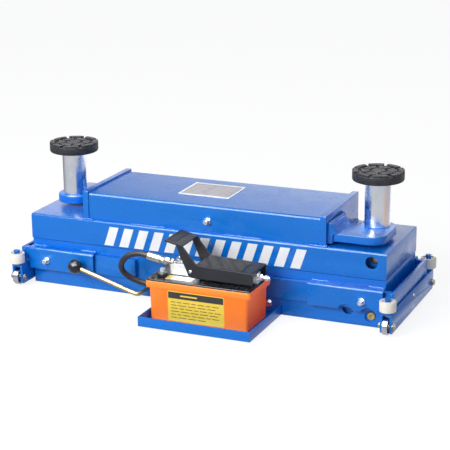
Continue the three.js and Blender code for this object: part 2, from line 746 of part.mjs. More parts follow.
// The pump block with the air motor's cylinder and end block beside it.
function pumpBlock() {
  const { left, right, front, back, top } = PUMP_BLOCK;
  const endWidth = [MOTOR.y - MOTOR.endHalf, MOTOR.y + MOTOR.endHalf];
  const side = polygon([
    [left, COVER_TOP],
    [right, COVER_TOP],
    [right, top - 12],
    [right - 18, top],
    [left, top],
  ]);
  return cut(
    join(
      extrude(side, "y", front, back),
      rod("x", MOTOR.radius, [MOTOR.y, MOTOR.z], [right - 1, MOTOR.right]),
      block([MOTOR.right - MOTOR.endBlock, MOTOR.right], endWidth, [COVER_TOP, top]),
    ),
    rod(
      "y",
      TREADLE_PIN.radius + SEAT,
      [TREADLE_PIN.x, TREADLE_PIN.z],
      [front - 1, back + 1],
    ),
  );
}

function treadlePin() {
  const centre = [TREADLE_PIN.x, TREADLE_PIN.z];
  return rod("y", TREADLE_PIN.radius, centre, [TREADLE.front - 2, TREADLE.back + 2]);
}

// The foot treadle: a bent plate with two skirts that rise to a raised heel plate.
function treadle() {
  const { front, back, sheet } = TREADLE;
  const skirt = polygon([
    [0, 184],
    [28, 117],
    [32, 112],
    [44, 109],
    [186.5, 108.5],
    [186.5, 136],
    [44, 141],
    [14, 183],
  ]);
  const pad = polygon([
    [42, 137],
    [186.5, 132],
    [186.5, 136],
    [44, 141],
  ]);
  const heel = polygon([
    [-27, 193.5],
    [-28, 189.5],
    [16, 180],
    [18, 184],
  ]);
  return cut(
    join(
      extrude(skirt, "y", front, front + sheet),
      extrude(skirt, "y", back - sheet, back),
      extrude(pad, "y", front, back),
      extrude(heel, "y", front - 1, back + 1),
    ),
    rod(
      "y",
      bore(TREADLE_PIN.radius),
      [TREADLE_PIN.x, TREADLE_PIN.z],
      [front - 1, back + 1],
    ),
  );
}

function ventKnob() {
  return join(
    rod("z", VENT.skirt, [VENT.x, VENT.y], [COVER_TOP, COVER_TOP + 8]),
    rod("z", VENT.cap, [VENT.x, VENT.y], [COVER_TOP + 7, COVER_TOP + 18]),
  );
}

// The outlet nuts and the crimped sleeve at the hose's pump end, tilted up to the left.
function hoseCoupling() {
  const centre = [OUTLET.y, OUTLET.z];
  const end = PUMP_BLOCK.left;
  const straight = join(
    hexagon("x", 19, centre, [end - 10, end + 6]),
    rod("x", 6, centre, [end - 14, end - 9]),
    hexagon("x", 17, centre, [end - 26, end - 13]),
    rod("x", 7.5, centre, [end - 35, end - 25]),
    rod("x", 9.5, centre, [OUTLET.left, end - 34]),
  );
  const tilted = straight
    .translate([-end, 0, -OUTLET.z])
    .rotate([0, OUTLET.tilt, 0])
    .translate([end, 0, OUTLET.z]);
  const behindFace = block([end - SEAT, end + 20], [OUTLET.y - 30, OUTLET.y + 30], [COVER_TOP, 150]);
  return cut(tilted, behindFace);
}

// The hose leaves the coupling to the left, turns back and down, and runs behind the tank to
// the bung in the base's wall.
function hose() {
  const tilt = THREE.MathUtils.degToRad(OUTLET.tilt);
  const reach = PUMP_BLOCK.left - OUTLET.left + 1;
  const start = [
    PUMP_BLOCK.left - reach * Math.cos(tilt),
    OUTLET.y,
    OUTLET.z + reach * Math.sin(tilt),
  ];
  const path = new THREE.CatmullRomCurve3(
    [
      start,
      [start[0] - 28, OUTLET.y + 1, start[2] + 2],
      [-153, -193, 122],
      [-174, -184, 101],
      [-181, -172, 78],
      [-172, -160, 60],
      [-156, -149, 47],
      [-133, -140, 39],
      [-95, -137, 38],
      [-60, -137, 45],
      [-34, -136, 53],
      [-18, -133, HOSE_PORT.z],
      [HOSE_PORT.x, -BASE.halfWidth - 8, HOSE_PORT.z],
    ].map((p) => new THREE.Vector3(...p)),
    false,
    "centripetal",
  );
  const circle = new THREE.Shape();
  circle.absarc(0, 0, HOSE_RADIUS, 0, Math.PI * 2, false);
  return solid(
    new THREE.ExtrudeGeometry(circle, {
      steps: 30,
      curveSegments: 4,
      bevelEnabled: false,
      extrudePath: path,
    }),
  );
}

// The quick-connect nipple for the workshop's air line.
function airInlet() {
  const centre = [MOTOR.y, MOTOR.z + 1];
  const start = MOTOR.right + 0.1;
  return join(
    hexagon("x", 14, centre, [start, start + 9]),
    rod("x", 5, centre, [start + 8, start + 26]),
    rod("x", 7, centre, [start + 14, start + 22]),
  );
}

// ---------------------------------------------------------------- the whole jack

const SHORT = { 1: "right", [-1]: "left" };
const DEPTH = { 1: "rear", [-1]: "front" };

// A solid drawn on the +x, +y side, moved to the side that (sx, sy) names.
function onSide(body, sx, sy) {
  const alongX = sx < 0 ? mirrored(body, [1, 0, 0]) : body;
  return sy < 0 ? mirrored(alongX, [0, 1, 0]) : alongX;
}

const SIDES_X = [1, -1];
const SIDES_Y = [1, -1];

const base = assembly();
part(base, "base_frame", baseFrame(), blue);
for (const sx of SIDES_X) {
  for (const sy of SIDES_Y) {
    const place = `${SHORT[sx]}_${DEPTH[sy]}`;
    part(base, `sleeve_${place}`, onSide(sleeve(sx > 0), sx, sy), blue);
    part(base, `carriage_lock_bolt_${place}`, onSide(lockBolt(), sx, sy), zinc);
  }
}
const pivotPin = (z, reach) => rod("y", PIVOT_PIN, [PIVOT_X, z], [-reach, reach]);
part(base, "lower_pivot_pin", pivotPin(LOWER_PIVOT_Z, 116), yellowZinc);
part(base, "cylinder_barrel", cylinderBarrel(), blackPaint);
part(
  base,
  "cylinder_anchor_pin",
  rod("y", CYLINDER.rod, [CYLINDER.pinX, CYLINDER.z], [-36, 36]),
  yellowZinc,
);
part(base, "pump_tray", pumpTray(), blue);
TRAY_BOLTS.x.forEach((x, i) => part(base, `tray_bolt_${i + 1}`, trayBolt(x), zinc));
part(base, "oil_tank", tank(), orange);
part(base, "tank_cover", tankCover(), blackPaint);
part(base, "pump_block", pumpBlock(), aluminium);
part(base, "treadle_pin", treadlePin(), zinc);
part(base, "hose_coupling", hoseCoupling(), zinc);
part(base, "hydraulic_hose", hose(), rubber);
part(base, "air_inlet_nipple", airInlet(), zinc);

part(assembly(), "foot_treadle", treadle(), blackPaint);
part(assembly(), "vent_knob", ventKnob(), nylon);

const lever = assembly();
part(lever, "lock_lever", lockLever(), yellowZinc);
part(lever, "lever_knob", leverKnob(), blackPaint);

const outerFrame = assembly();
part(outerFrame, "scissor_arms_outer", outerArms(), blue);
part(
  outerFrame,
  "centre_pin",
  rod("y", CENTRE_PIN, [CENTRE_X, CENTRE_Z], [-110, 110]),
  steel,
);
part(assembly(), "scissor_arms_inner", innerArms(), blue);

const slider = assembly();
part(slider, "crosshead", crosshead(), steel);
part(slider, "cylinder_rod", cylinderRod(), zinc);

for (const sy of SIDES_Y) {
  const upper = roller(UPPER_ROLLER, [CROSSHEAD_X, UPPER_PIVOT_Z], [82, 95]);
  const lower = roller(LOWER_ROLLER, [CROSSHEAD_X, LOWER_PIVOT_Z], [91, 103]);
  part(assembly(), `upper_roller_${DEPTH[sy]}`, onSide(upper, 1, sy), steel);
  part(assembly(), `lower_roller_${DEPTH[sy]}`, onSide(lower, 1, sy), steel);
}

const platform = assembly();
part(platform, "platform_channel", platformChannel(), blue);
part(platform, "telescope_box", telescopeBox(), blue);
part(platform, "upper_pivot_pin", pivotPin(UPPER_PIVOT_Z, 95), yellowZinc);
part(platform, "arm_lock_bolt_front", boxBolt(), zinc);
part(platform, "arm_lock_bolt_rear", halfTurned(boxBolt()), zinc);

for (const sx of SIDES_X) {
  const side = SHORT[sx];
  const turned = (body) => (sx < 0 ? halfTurned(body) : body);
  part(assembly(), `extension_arm_${side}`, turned(extensionArm()), blue);
  const support = assembly();
  part(support, `post_${side}`, turned(post()), zinc);
  part(support, `rubber_pad_${side}`, turned(pad()), rubber);
  const end = assembly();
  part(end, `end_carriage_${side}`, onSide(carriage(), sx, 1), blue);
  for (const sy of SIDES_Y) {
    const place = `${side}_${DEPTH[sy]}`;
    part(end, `axle_bolt_${place}`, onSide(axleBolt(), sx, sy), zinc);
    part(assembly(), `wheel_${place}`, onSide(wheel(), sx, sy), steel);
    part(assembly(), `guide_roller_${place}`, onSide(guideRoller(), sx, sy), nylon);
  }
}

export default root;
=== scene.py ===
"""Looks of the scissor bridge jack: paint, metal, rubber and plastic, and the fine shapes
that the CAD frame leaves plain. Lengths in the shape functions are millimetres."""

import json
import math

import bmesh
import bpy
from mathutils import Matrix, Vector


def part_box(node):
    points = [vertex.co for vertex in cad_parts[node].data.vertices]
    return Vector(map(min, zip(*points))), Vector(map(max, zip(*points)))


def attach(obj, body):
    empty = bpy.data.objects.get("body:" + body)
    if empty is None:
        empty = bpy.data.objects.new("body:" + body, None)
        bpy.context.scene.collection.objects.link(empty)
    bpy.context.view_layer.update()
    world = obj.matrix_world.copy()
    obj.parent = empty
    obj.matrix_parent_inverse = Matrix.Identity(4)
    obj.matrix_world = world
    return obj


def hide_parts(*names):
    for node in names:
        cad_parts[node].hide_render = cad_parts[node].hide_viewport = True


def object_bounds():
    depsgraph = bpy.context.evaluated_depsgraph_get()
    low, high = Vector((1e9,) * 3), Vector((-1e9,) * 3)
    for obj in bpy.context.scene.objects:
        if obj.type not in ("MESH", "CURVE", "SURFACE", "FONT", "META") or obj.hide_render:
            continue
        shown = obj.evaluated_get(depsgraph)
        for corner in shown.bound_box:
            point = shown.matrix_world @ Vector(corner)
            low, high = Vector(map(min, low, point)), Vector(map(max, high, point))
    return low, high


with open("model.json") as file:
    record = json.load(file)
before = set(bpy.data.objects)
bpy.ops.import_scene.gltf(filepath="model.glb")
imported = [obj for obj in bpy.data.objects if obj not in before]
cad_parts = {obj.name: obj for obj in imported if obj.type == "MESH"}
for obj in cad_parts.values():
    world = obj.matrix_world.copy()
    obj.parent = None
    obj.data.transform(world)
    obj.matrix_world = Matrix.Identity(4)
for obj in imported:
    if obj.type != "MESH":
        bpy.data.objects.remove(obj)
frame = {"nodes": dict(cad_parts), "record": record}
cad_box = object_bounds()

MM = 0.001
CHANNEL_WIDTH = 27
NODES = frame["nodes"]
PLATFORM_TOP = 174.5
BOX_TOP = 240
TANK_LIP = 16
TANK_INSET = 3.5  # of the tank's long walls behind its lip
TANK_DRAFT = 1.5  # further, at the foot
COVER_SINK = 1.4
BODY_OF = {n: b for b, names in frame["record"]["behaviour"]["bodies"].items() for n in names}
SLOT_OF = {s["node"]: s["material_slot"] for s in frame["record"]["subparts"]}
SIDES = {"right": 1, "left": -1}
DEPTHS = {"rear": 1, "front": -1}


def span(node):
    """A CAD node's lowest and highest corner in millimetres."""
    low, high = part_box(node)
    return low / MM, high / MM


def around(node, axis):
    """A CAD node's lowest and highest corner, and its middle as seen along an axis."""
    low, high = span(node)
    middle = (low + high) / 2
    return low, high, tuple(getattr(middle, key) for key in "xyz" if key != axis)


# ---------------------------------------------------------------- materials


class Shader:
    """A node material with short calls for adding and joining its nodes."""

    def __init__(self, name):
        self.material = bpy.data.materials.new(name)
        self.material.use_nodes = True
        self.tree = self.material.node_tree
        self.surface = self.tree.nodes["Principled BSDF"]
        self.place = self.node("ShaderNodeTexCoord").outputs["Object"]

    def node(self, kind, inputs=None, **settings):
        made = self.tree.nodes.new(kind)
        for key, value in settings.items():
            setattr(made, key, value)
        for key, value in (inputs or {}).items():
            self.feed(made, key, value)
        return made

    def feed(self, node, key, value):
        """Sets an input to a value, or links it to another node's output."""
        if isinstance(value, bpy.types.NodeSocket):
            self.tree.links.new(value, node.inputs[key])
        else:
            node.inputs[key].default_value = value

    def set(self, **inputs):
        for key, value in inputs.items():
            self.feed(self.surface, key.replace("_", " "), value)

    def stretched(self, scale):
        """The object's coordinates, scaled per axis."""
        return self.node("ShaderNodeMapping", {"Vector": self.place, "Scale": scale}).outputs[0]

    def noise(self, scale, detail=3.0, roughness=0.5, vector=None):
        inputs = {"Vector": vector or self.place, "Scale": scale, "Detail": detail}
        inputs["Roughness"] = roughness
        return self.node("ShaderNodeTexNoise", inputs).outputs["Fac"]

    def range(self, value, low, high, start=0.3, stop=0.7):
        inputs = {"Value": value, "From Min": start, "From Max": stop}
        inputs.update({"To Min": low, "To Max": high})
        return self.node("ShaderNodeMapRange", inputs).outputs["Result"]

    def mix(self, share, a, b):
        made = self.node("ShaderNodeMix", {"Factor": share}, data_type="RGBA")
        self.feed(made, 6, a)
        self.feed(made, 7, b)
        return made.outputs[2]

    def bump(self, height, strength, distance, below=None):
        inputs = {"Height": height, "Strength": strength, "Distance": distance}
        if below is not None:
            inputs["Normal"] = below
        return self.node("ShaderNodeBump", inputs).outputs["Normal"]

    def recess(self, distance):
        """1 on open faces, falling to 0 deep in corners."""
        inputs = {"Distance": distance}
        return self.node("ShaderNodeAmbientOcclusion", inputs, samples=4).outputs["AO"]


def enamel(name, colour, shade, peel=0.1, roughness=0.24, corner_shade=0.25, gloss=0.5, glow=0.0):
    """Gloss paint: two close tones, orange peel over a slightly wavy sheet, and painted shade that
    darkens the paint deep in corners.
    A red glow is painted light: it brightens a signal orange, also where shade falls."""
    s = Shader(name)
    tone = s.mix(s.range(s.noise(4.0, 4.0), 0.0, 1.0), colour, shade)
    dark = (*[c * 0.35 for c in shade[:3]], 1)
    # painted shade: deep in corners and recesses the paint turns toward a dark copy of its second tone
    shaded_in_corners = s.mix(s.range(s.recess(0.02), corner_shade, 0.0, 0.15, 0.75), tone, dark)
    waves = s.bump(s.noise(9.0, 1.0), 0.10, 0.0012)
    skin = s.bump(s.noise(170.0, 2.0), peel, 0.0003, waves)
    s.set(Base_Color=shaded_in_corners, Normal=skin, Specular_IOR_Level=gloss)
    # painted glow: a red emission lights the paint from within, whatever the lamps do
    s.set(Emission_Color=(1.0, 0.03, 0.01, 1), Emission_Strength=glow)
    s.set(Roughness=s.range(s.noise(22.0, 4.0), roughness - 0.05, roughness + 0.07))
    return s.material


def plated(name, colour, other, roughness=0.25, patch=90.0, streak=None):
    """Electroplated steel: cloudy patches of two tints and of two roughnesses."""
    s = Shader(name)
    vector = s.stretched(streak) if streak else s.place
    patches = s.range(s.noise(patch, 6.0, 0.65, vector), 0.0, 1.0, 0.35, 0.65)
    s.set(Base_Color=s.mix(patches, colour, other), Metallic=1.0)
    s.set(Roughness=s.range(s.noise(patch * 2.2, 5.0, 0.6, vector), roughness * 0.7, roughness * 1.6))
    s.set(Normal=s.bump(s.noise(240.0, 3.0, 0.5, vector), 0.08, 0.0003))
    return s.material


def turned_steel(name, colour, roughness=0.22):
    """Ground steel with fine rings left by the machining."""
    s = Shader(name)
    fine = s.noise(420.0, 2.0)
    s.set(Base_Color=s.mix(s.range(s.noise(60.0, 4.0), 0, 1), colour, [c * 0.75 for c in colour]))
    s.set(Metallic=1.0, Roughness=s.range(fine, roughness * 0.8, roughness * 1.5))
    s.set(Normal=s.bump(fine, 0.06, 0.0001))
    return s.material


def moulded(name, colour, roughness, grain=500.0, strength=0.15, dust=0.0):
    """Rubber or plastic with a moulded grain, and a little pale dust in its recesses."""
    s = Shader(name)
    cloudy = s.range(s.noise(25.0, 4.0), 0.0, 1.0)
    tone = s.mix(cloudy, colour, [min(1, c * 1.5 + 0.002) for c in colour[:3]] + [1])
    dusty = s.mix(s.range(s.recess(0.01), dust, 0.0, 0.2, 0.9), tone, (0.16, 0.15, 0.14, 1))
    s.set(Base_Color=dusty, Normal=s.bump(s.noise(grain, 4.0, 0.6), strength, 0.0004))
    s.set(Roughness=s.range(s.noise(45.0, 5.0), roughness - 0.06, roughness + 0.1))
    return s.material


def natural_nylon(name):
    """Ivory nylon, a little translucent, with faint turning marks."""
    s = Shader(name)
    tone = s.mix(s.range(s.noise(40.0, 4.0), 0, 1), (0.93, 0.90, 0.82, 1), (0.87, 0.83, 0.74, 1))
    s.set(Base_Color=tone, Roughness=0.42, Subsurface_Weight=0.25, Subsurface_Scale=0.004)
    s.set(Normal=s.bump(s.noise(300.0, 3.0, 0.5, s.stretched((1, 1, 6))), 0.08, 0.0003))
    return s.material


def milled_aluminium(name):
    """Dull bright metal with lines left by the cutter."""
    s = Shader(name)
    lines = s.noise(500.0, 3.0, 0.5, s.stretched((0.15, 1, 1)))
    tone = s.mix(s.range(s.noise(50.0), 0, 1), (0.86, 0.87, 0.88, 1), (0.74, 0.75, 0.77, 1))
    s.set(Base_Color=tone, Metallic=0.35)
    s.set(Roughness=s.range(lines, 0.3, 0.5), Normal=s.bump(lines, 0.08, 0.0002))
    return s.material


def printed(name, colour, roughness=0.35):
    """A printed film: even colour, faint fibres, a light gloss."""
    s = Shader(name)
    s.set(Base_Color=s.mix(s.range(s.noise(35.0, 3.0), 0, 1), colour, [c * 0.93 for c in colour]))
    s.set(Roughness=roughness, Coat_Weight=0.3, Coat_Roughness=0.2)
    s.set(Normal=s.bump(s.noise(700.0, 2.0), 0.03, 0.0002))
    return s.material


FINISHES = {
    # blue paint keeps the default painted shade in its corners
    "blue_paint": (enamel, (0.0005, 0.170, 0.645, 1), (0.0004, 0.155, 0.60, 1)),
    # orange paint: no painted corner shade, and a painted red glow of strength 0.26
    "orange_paint": (
        enamel, (1.0, 0.29, 0.026, 1), (0.97, 0.27, 0.023, 1), 0.06, 0.34, 0.0, 0.5, 0.26,
    ),
    "black_paint": (
        enamel, (0.016, 0.017, 0.021, 1), (0.021, 0.022, 0.027, 1), 0.25, 0.42, 0.0, 0.3,
    ),
    "black_plastic": (moulded, (0.008, 0.008, 0.010, 1), 0.24, 260.0, 0.05, 0.05),
    "rubber": (moulded, (0.008, 0.008, 0.011, 1), 0.56, 220.0, 0.25, 0.05),
    "zinc": (plated, (0.80, 0.81, 0.83, 1), (0.62, 0.65, 0.69, 1)),
    "warm_zinc": (plated, (0.56, 0.53, 0.44, 1), (0.36, 0.33, 0.26, 1), 0.28),
    "dull_zinc": (plated, (0.42, 0.40, 0.35, 1), (0.27, 0.25, 0.21, 1), 0.35),
    "post_zinc": (plated, (0.90, 0.90, 0.91, 1), (0.80, 0.82, 0.86, 1), 0.2, 45.0, (1, 1, 0.5)),
    "yellow_zinc": (plated, (0.52, 0.42, 0.17, 1), (0.40, 0.28, 0.17, 1), 0.36, 45.0),
    "steel": (turned_steel, (0.50, 0.50, 0.52, 1)),
    "aluminium": (milled_aluminium,),
    "nylon": (natural_nylon,),
    "grey_plastic": (moulded, (0.46, 0.49, 0.56, 1), 0.35, 260.0, 0.05),
    "white_print": (printed, (0.87, 0.90, 0.93, 1)),
    "yellow_print": (printed, (0.93, 0.66, 0.07, 1)),
    "black_print": (printed, (0.03, 0.03, 0.028, 1)),
    "brown_print": (printed, (0.17, 0.13, 0.04, 1)),
    "plate_print": (printed, (0.24, 0.23, 0.30, 1)),
    "pale_print": (printed, (0.55, 0.50, 0.47, 1)),
    "race_steel": (turned_steel, (0.62, 0.62, 0.64, 1), 0.16),
    "seal": (moulded, (0.02, 0.02, 0.022, 1), 0.5),
}
PAINT = {name: make(name, *rest) for name, (make, *rest) in FINISHES.items()}


# ---------------------------------------------------------------- meshes


def piece(name, mesh, finish, body, rounding=0.0, smooth=32, segments=2):
    """A bmesh in millimetres as a named object that rides on a body."""
    bmesh.ops.scale(mesh, vec=(MM, MM, MM), verts=mesh.verts)
    bmesh.ops.recalc_face_normals(mesh, faces=mesh.faces)
    data = bpy.data.meshes.new(name)
    mesh.to_mesh(data)
    mesh.free()
    data.shade_smooth()
    data.set_sharp_from_angle(angle=math.radians(smooth))
    obj = bpy.data.objects.new(name, data)
    bpy.context.scene.collection.objects.link(obj)
    for key in [finish] if isinstance(finish, str) else finish:
        data.materials.append(PAINT[key])
    if rounding:
        rounded(obj, rounding, segments)
    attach(obj, body)
    return obj


def rounded(obj, width, segments=2):
    """Rounds the sharp edges with a modifier."""
    bevel = obj.modifiers.new("rounding", "BEVEL")
    bevel.width = width * MM
    bevel.segments = segments
    bevel.limit_method = "ANGLE"
    bevel.angle_limit = math.radians(32)
    bevel.harden_normals = True
    bevel.use_clamp_overlap = True


def stand_in(obj, node):
    """obj is shown in place of a CAD node, which is hidden."""
    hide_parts(node)
    return obj


def placed(axis, a, b, depth):
    """A point of a sketch across an axis, at a depth along it. Sketches keep the order x, y, z."""
    place = [a, b]
    place.insert("xyz".index(axis), depth)
    return Vector(place)


def slab(mesh, outline, axis, low, high):
    """Adds an outline extruded along an axis."""
    ends = [[mesh.verts.new(placed(axis, a, b, d)) for a, b in outline] for d in (low, high)]
    mesh.faces.new(ends[0])
    mesh.faces.new(ends[1][::-1])
    count = len(outline)
    for i in range(count):
        j = (i + 1) % count
        mesh.faces.new((ends[0][i], ends[1][i], ends[1][j], ends[0][j]))
    return mesh


def box(mesh, x, y, z):
    """Adds a box between its limits on each axis."""
    return slab(mesh, [(x[0], y[0]), (x[1], y[0]), (x[1], y[1]), (x[0], y[1])], "z", z[0], z[1])


def arc(centre, radius, start, stop, steps):
    """Points of an arc, with its angles in degrees."""
    angles = [math.radians(start + (stop - start) * i / steps) for i in range(steps + 1)]
    return [(centre[0] + radius * math.cos(t), centre[1] + radius * math.sin(t)) for t in angles]


def round_rectangle(x, y, radius, steps=5):
    """The outline of a rectangle with rounded corners, from its limits on two axes."""
    corners = [(x[1], y[0], -90), (x[1], y[1], 0), (x[0], y[1], 90), (x[0], y[0], 180)]
    points = []
    for cx, cy, start in corners:
        across = radius if cx == x[0] else -radius
        along = radius if cy == y[0] else -radius
        points += arc((cx + across, cy + along), radius, start, start + 90, steps)
    return points


def loft(mesh, levels):
    """Skins rings of points, each a list of Vectors of one length, and caps both ends."""
    rings = [[mesh.verts.new(p) for p in level] for level in levels]
    count = len(rings[0])
    for lower, upper in zip(rings, rings[1:]):
        for i in range(count):
            j = (i + 1) % count
            mesh.faces.new((lower[i], lower[j], upper[j], upper[i]))
    mesh.faces.new(rings[0][::-1])
    mesh.faces.new(rings[-1])
    return mesh


def turned(mesh, profile, axis, centre, steps=48, material=0):
    """Adds a profile of (radius, place along the axis) turned round the axis.
    A profile that starts and ends on the axis is solid; any other closes on itself as a ring."""
    solid = profile[0][0] == 0
    points = profile[1:-1] if solid else profile
    rings = []
    for radius, depth in points:
        ring = arc(centre, radius, 0, 360 - 360 / steps, steps - 1)
        rings.append([mesh.verts.new(placed(axis, a, b, depth)) for a, b in ring])
    pairs = list(zip(rings, rings[1:])) + ([] if solid else [(rings[-1], rings[0])])
    for lower, upper in pairs:
        for i in range(steps):
            j = (i + 1) % steps
            face = mesh.faces.new((lower[i], lower[j], upper[j], upper[i]))
            face.material_index = material
    if solid:
        for ring in (rings[0], rings[-1]):
            mesh.faces.new(ring).material_index = material
    return mesh


def chamfered(radius, low, high, chamfer=1.0):
    """The profile of a solid cylinder with chamfered rims."""
    return [
        (0, low),
        (radius - chamfer, low),
        (radius, low + chamfer),
        (radius, high - chamfer),
        (radius - chamfer, high),
        (0, high),
    ]


def swept(mesh, points, radius, steps=16):
    """A tube along points. radius is a number or a function of the share of the length."""
    points = [Vector(p) for p in points]
    across = None
    levels = []
    last = len(points) - 1
    for i, point in enumerate(points):
        ahead = (points[min(i + 1, last)] - points[max(i - 1, 0)]).normalized()
        if across is None:
            guide = Vector((0, 0, 1)) if abs(ahead.z) < 0.9 else Vector((0, 1, 0))
            across = guide - ahead * guide.dot(ahead)
        across = (across - ahead * across.dot(ahead)).normalized()
        other = ahead.cross(across)
        size = radius(i / last) if callable(radius) else radius
        ring = []
        for k in range(steps):
            t = 2 * math.pi * k / steps
            ring.append(point + across * size * math.cos(t) + other * size * math.sin(t))
        levels.append(ring)
    return loft(mesh, levels)


def weld(mesh, start, stop, size, pitch=4.2):
    """A painted weld bead between two points: soft ripples, rounded ends, a slight wander."""
    start, stop = Vector(start), Vector(stop)
    length = (stop - start).length
    ripples = max(3, round(length / pitch))
    steps = ripples * 6
    points = []
    for i in range(steps + 1):
        wander = 0.12 * size * math.sin(i * 0.37 + start.x)
        points.append(start.lerp(stop, i / steps) + Vector((0, wander * 0.4, wander)))

    def radius(share):
        end = min(1.0, math.sqrt(max(0.02, min(share, 1 - share) * length / size)))
        return size * end * (0.87 + 0.13 * abs(math.sin(math.pi * share * ripples)))

    return swept(mesh, points, radius, 12)


def ramp_weld(mesh, section, corner, start, stop, pitch=6.5):
    """A wide multi-pass weld along y: an (x, z) section that swells and shrinks in ripples."""
    ripples = round(abs(stop - start) / pitch)
    steps = ripples * 6
    levels = []
    for i in range(steps + 1):
        share = i / steps
        end = min(1.0, 0.45 + min(share, 1 - share) * 9)
        size = end * (0.84 + 0.16 * abs(math.sin(math.pi * share * ripples)))
        y = start + (stop - start) * share
        ring = [Vector((corner[0] + (a - corner[0]) * size, y, corner[1] + (b - corner[1]) * size))
                for a, b in section]
        levels.append(ring)
    return loft(mesh, levels)


def refine(node, rounding, segments=2):
    """Keeps a CAD node, joins its flat faces, and rounds its edges."""
    obj = NODES[node]
    obj.data.materials.clear()
    obj.data.materials.append(PAINT[SLOT_OF[node]])
    obj.data.shade_smooth()
    joined = obj.modifiers.new("joined", "WELD")
    joined.merge_threshold = 0.00002
    flat = obj.modifiers.new("flat", "DECIMATE")
    flat.decimate_type = "DISSOLVE"
    flat.angle_limit = math.radians(1)
    rounded(obj, rounding, segments)


# ---------------------------------------------------------------- lifting posts and pads


def rubber_pad(side):
    """A moulded pad: rim blocks split by radial notches, a ring of inner blocks, a middle disc."""
    node = f"rubber_pad_{side}"
    low, high, centre = around(node, "z")
    radius = (high.x - low.x) / 2
    floor = high.z - 5
    profile = [
        (0, low.z), (radius - 3.5, low.z), (radius - 1.2, low.z + 1), (radius, low.z + 3.5),
        (radius, floor - 1), (radius - 1, floor), (0, floor),
    ]
    mesh = turned(bmesh.new(), profile, "z", centre, 96)
    inner_turn = -7.5

    def blocks(count, inner, outer, gap, top, turn=0.0):
        """A ring of blocks, its gaps of one width from rim to middle."""
        for i in range(count):
            start = 360 * i / count + turn
            stop = start + 360 / count
            cut_in = math.degrees(gap / 2 / inner)
            cut_out = math.degrees(gap / 2 / outer)
            outline = arc(centre, outer, start + cut_out, stop - cut_out, 8)
            outline += arc(centre, inner, stop - cut_in, start + cut_in, 6)
            slab(mesh, outline, "z", floor - 0.6, top)

    blocks(8, radius * 0.78, radius, 9.0, high.z)
    blocks(6, radius * 0.36, radius * 0.66, 7.0, high.z - 1.0, inner_turn)
    turned(mesh, chamfered(radius * 0.27, floor - 0.6, high.z - 0.8, 1.4), "z", centre, 48)
    stand_in(piece(f"tread_pad_{side}", mesh, "rubber", BODY_OF[node], 1.0), node)
    screws = bmesh.new()
    for x, y in arc(centre, radius * 0.72, inner_turn, inner_turn + 180, 1):
        cap_screw(screws, x, y, floor, 3.4)
    piece(f"pad_screws_{side}", screws, "black_paint", BODY_OF[node])


def post(side):
    """A plated round post: chamfered rims, a turned ring near its top, and its spigot."""
    node = f"post_{side}"
    low, high, centre = around(node, "z")
    radius = (high.x - low.x) / 2
    shoulder = span(f"extension_arm_{side}")[0].z
    foot = shoulder + 24
    ring = high.z - 5
    profile = [
        (0, shoulder + 5.5), (19, shoulder + 5.5), (20, shoulder + 6.5), (20, foot),
        (radius - 1.2, foot), (radius, foot + 1.2), (radius, ring - 0.9), (radius - 0.7, ring - 0.4),
        (radius - 0.7, ring + 0.4), (radius, ring + 0.9), (radius, high.z - 0.6),
        (radius - 0.6, high.z), (0, high.z),
    ]
    mesh = turned(bmesh.new(), profile, "z", centre, 96)
    stand_in(piece(f"plated_post_{side}", mesh, "post_zinc", BODY_OF[node]), node)


# ---------------------------------------------------------------- wheels and rollers


def wheel(side, depth):
    """A ball bearing as a wheel: two ground races, and a sunk dark seal between them."""
    node = f"wheel_{side}_{depth}"
    low, high, centre = around(node, "x")
    outer = (high.y - low.y) / 2
    inner, hub, bore = outer * 0.78, outer * 0.47, 5.2
    a, b = low.x, high.x
    tread = [
        (inner, a), (outer - 1.2, a), (outer, a + 1.2), (outer, b - 1.2), (outer - 1.2, b), (inner, b),
    ]
    mesh = turned(bmesh.new(), tread, "x", centre, 64)
    turned(mesh, [(hub, a), (bore, a), (bore, b), (hub, b)], "x", centre, 48)
    a, b, inner, hub = a + 0.9, b - 0.9, inner + 0.2, hub - 0.2
    turned(mesh, [(hub, a), (inner, a), (inner, b), (hub, b)], "x", centre, 48, 1)
    made = piece(f"bearing_wheel_{side}_{depth}", mesh, ["race_steel", "seal"], BODY_OF[node], 0.25)
    stand_in(made, node)


def guide_roller(side, depth):
    """A turned nylon roller with rounded rims and a counterbore round its bolt."""
    node = f"guide_roller_{side}_{depth}"
    low, high, centre = around(node, "z")
    radius = (high.x - low.x) / 2
    profile = [
        (6.2, low.z), (radius - 2.5, low.z), (radius - 0.7, low.z + 0.7), (radius, low.z + 2.5),
        (radius, high.z - 2.5), (radius - 0.7, high.z - 0.7), (radius - 2.5, high.z),
        (13.5, high.z), (13, high.z - 0.5), (13, high.z - 3), (6.2, high.z - 3),
    ]
    mesh = turned(bmesh.new(), profile, "z", centre, 64)
    stand_in(piece(f"nylon_roller_{side}_{depth}", mesh, "nylon", BODY_OF[node], 0, 40), node)


# ---------------------------------------------------------------- fasteners


def hexagon(mesh, axis, flats, centre, low, high):
    """A hexagon with its corners chamfered at both faces."""
    radius = flats / math.sqrt(3)
    rim = (high - low) * 0.16
    levels = []
    for depth, scale in ((low, 0.93), (low + rim, 1), (high - rim, 1), (high, 0.93)):
        ring = arc(centre, radius * scale, 30, 330, 5)
        levels.append([placed(axis, a, b, depth) for a, b in ring])
    return loft(mesh, levels)


def thread(mesh, axis, radius, centre, low, high, pitch=1.25):
    """A shank with thread-like grooves and a chamfered end."""
    count = max(2, int((high - low) / pitch))
    step = (high - low) / count
    profile = [(0, low)]
    for i in range(count):
        profile.append((radius * 0.86, low + step * i))
        profile.append((radius, low + step * (i + 0.5)))
    profile += [(radius * 0.8, high), (0, high)]
    return turned(mesh, profile, axis, centre, 24)


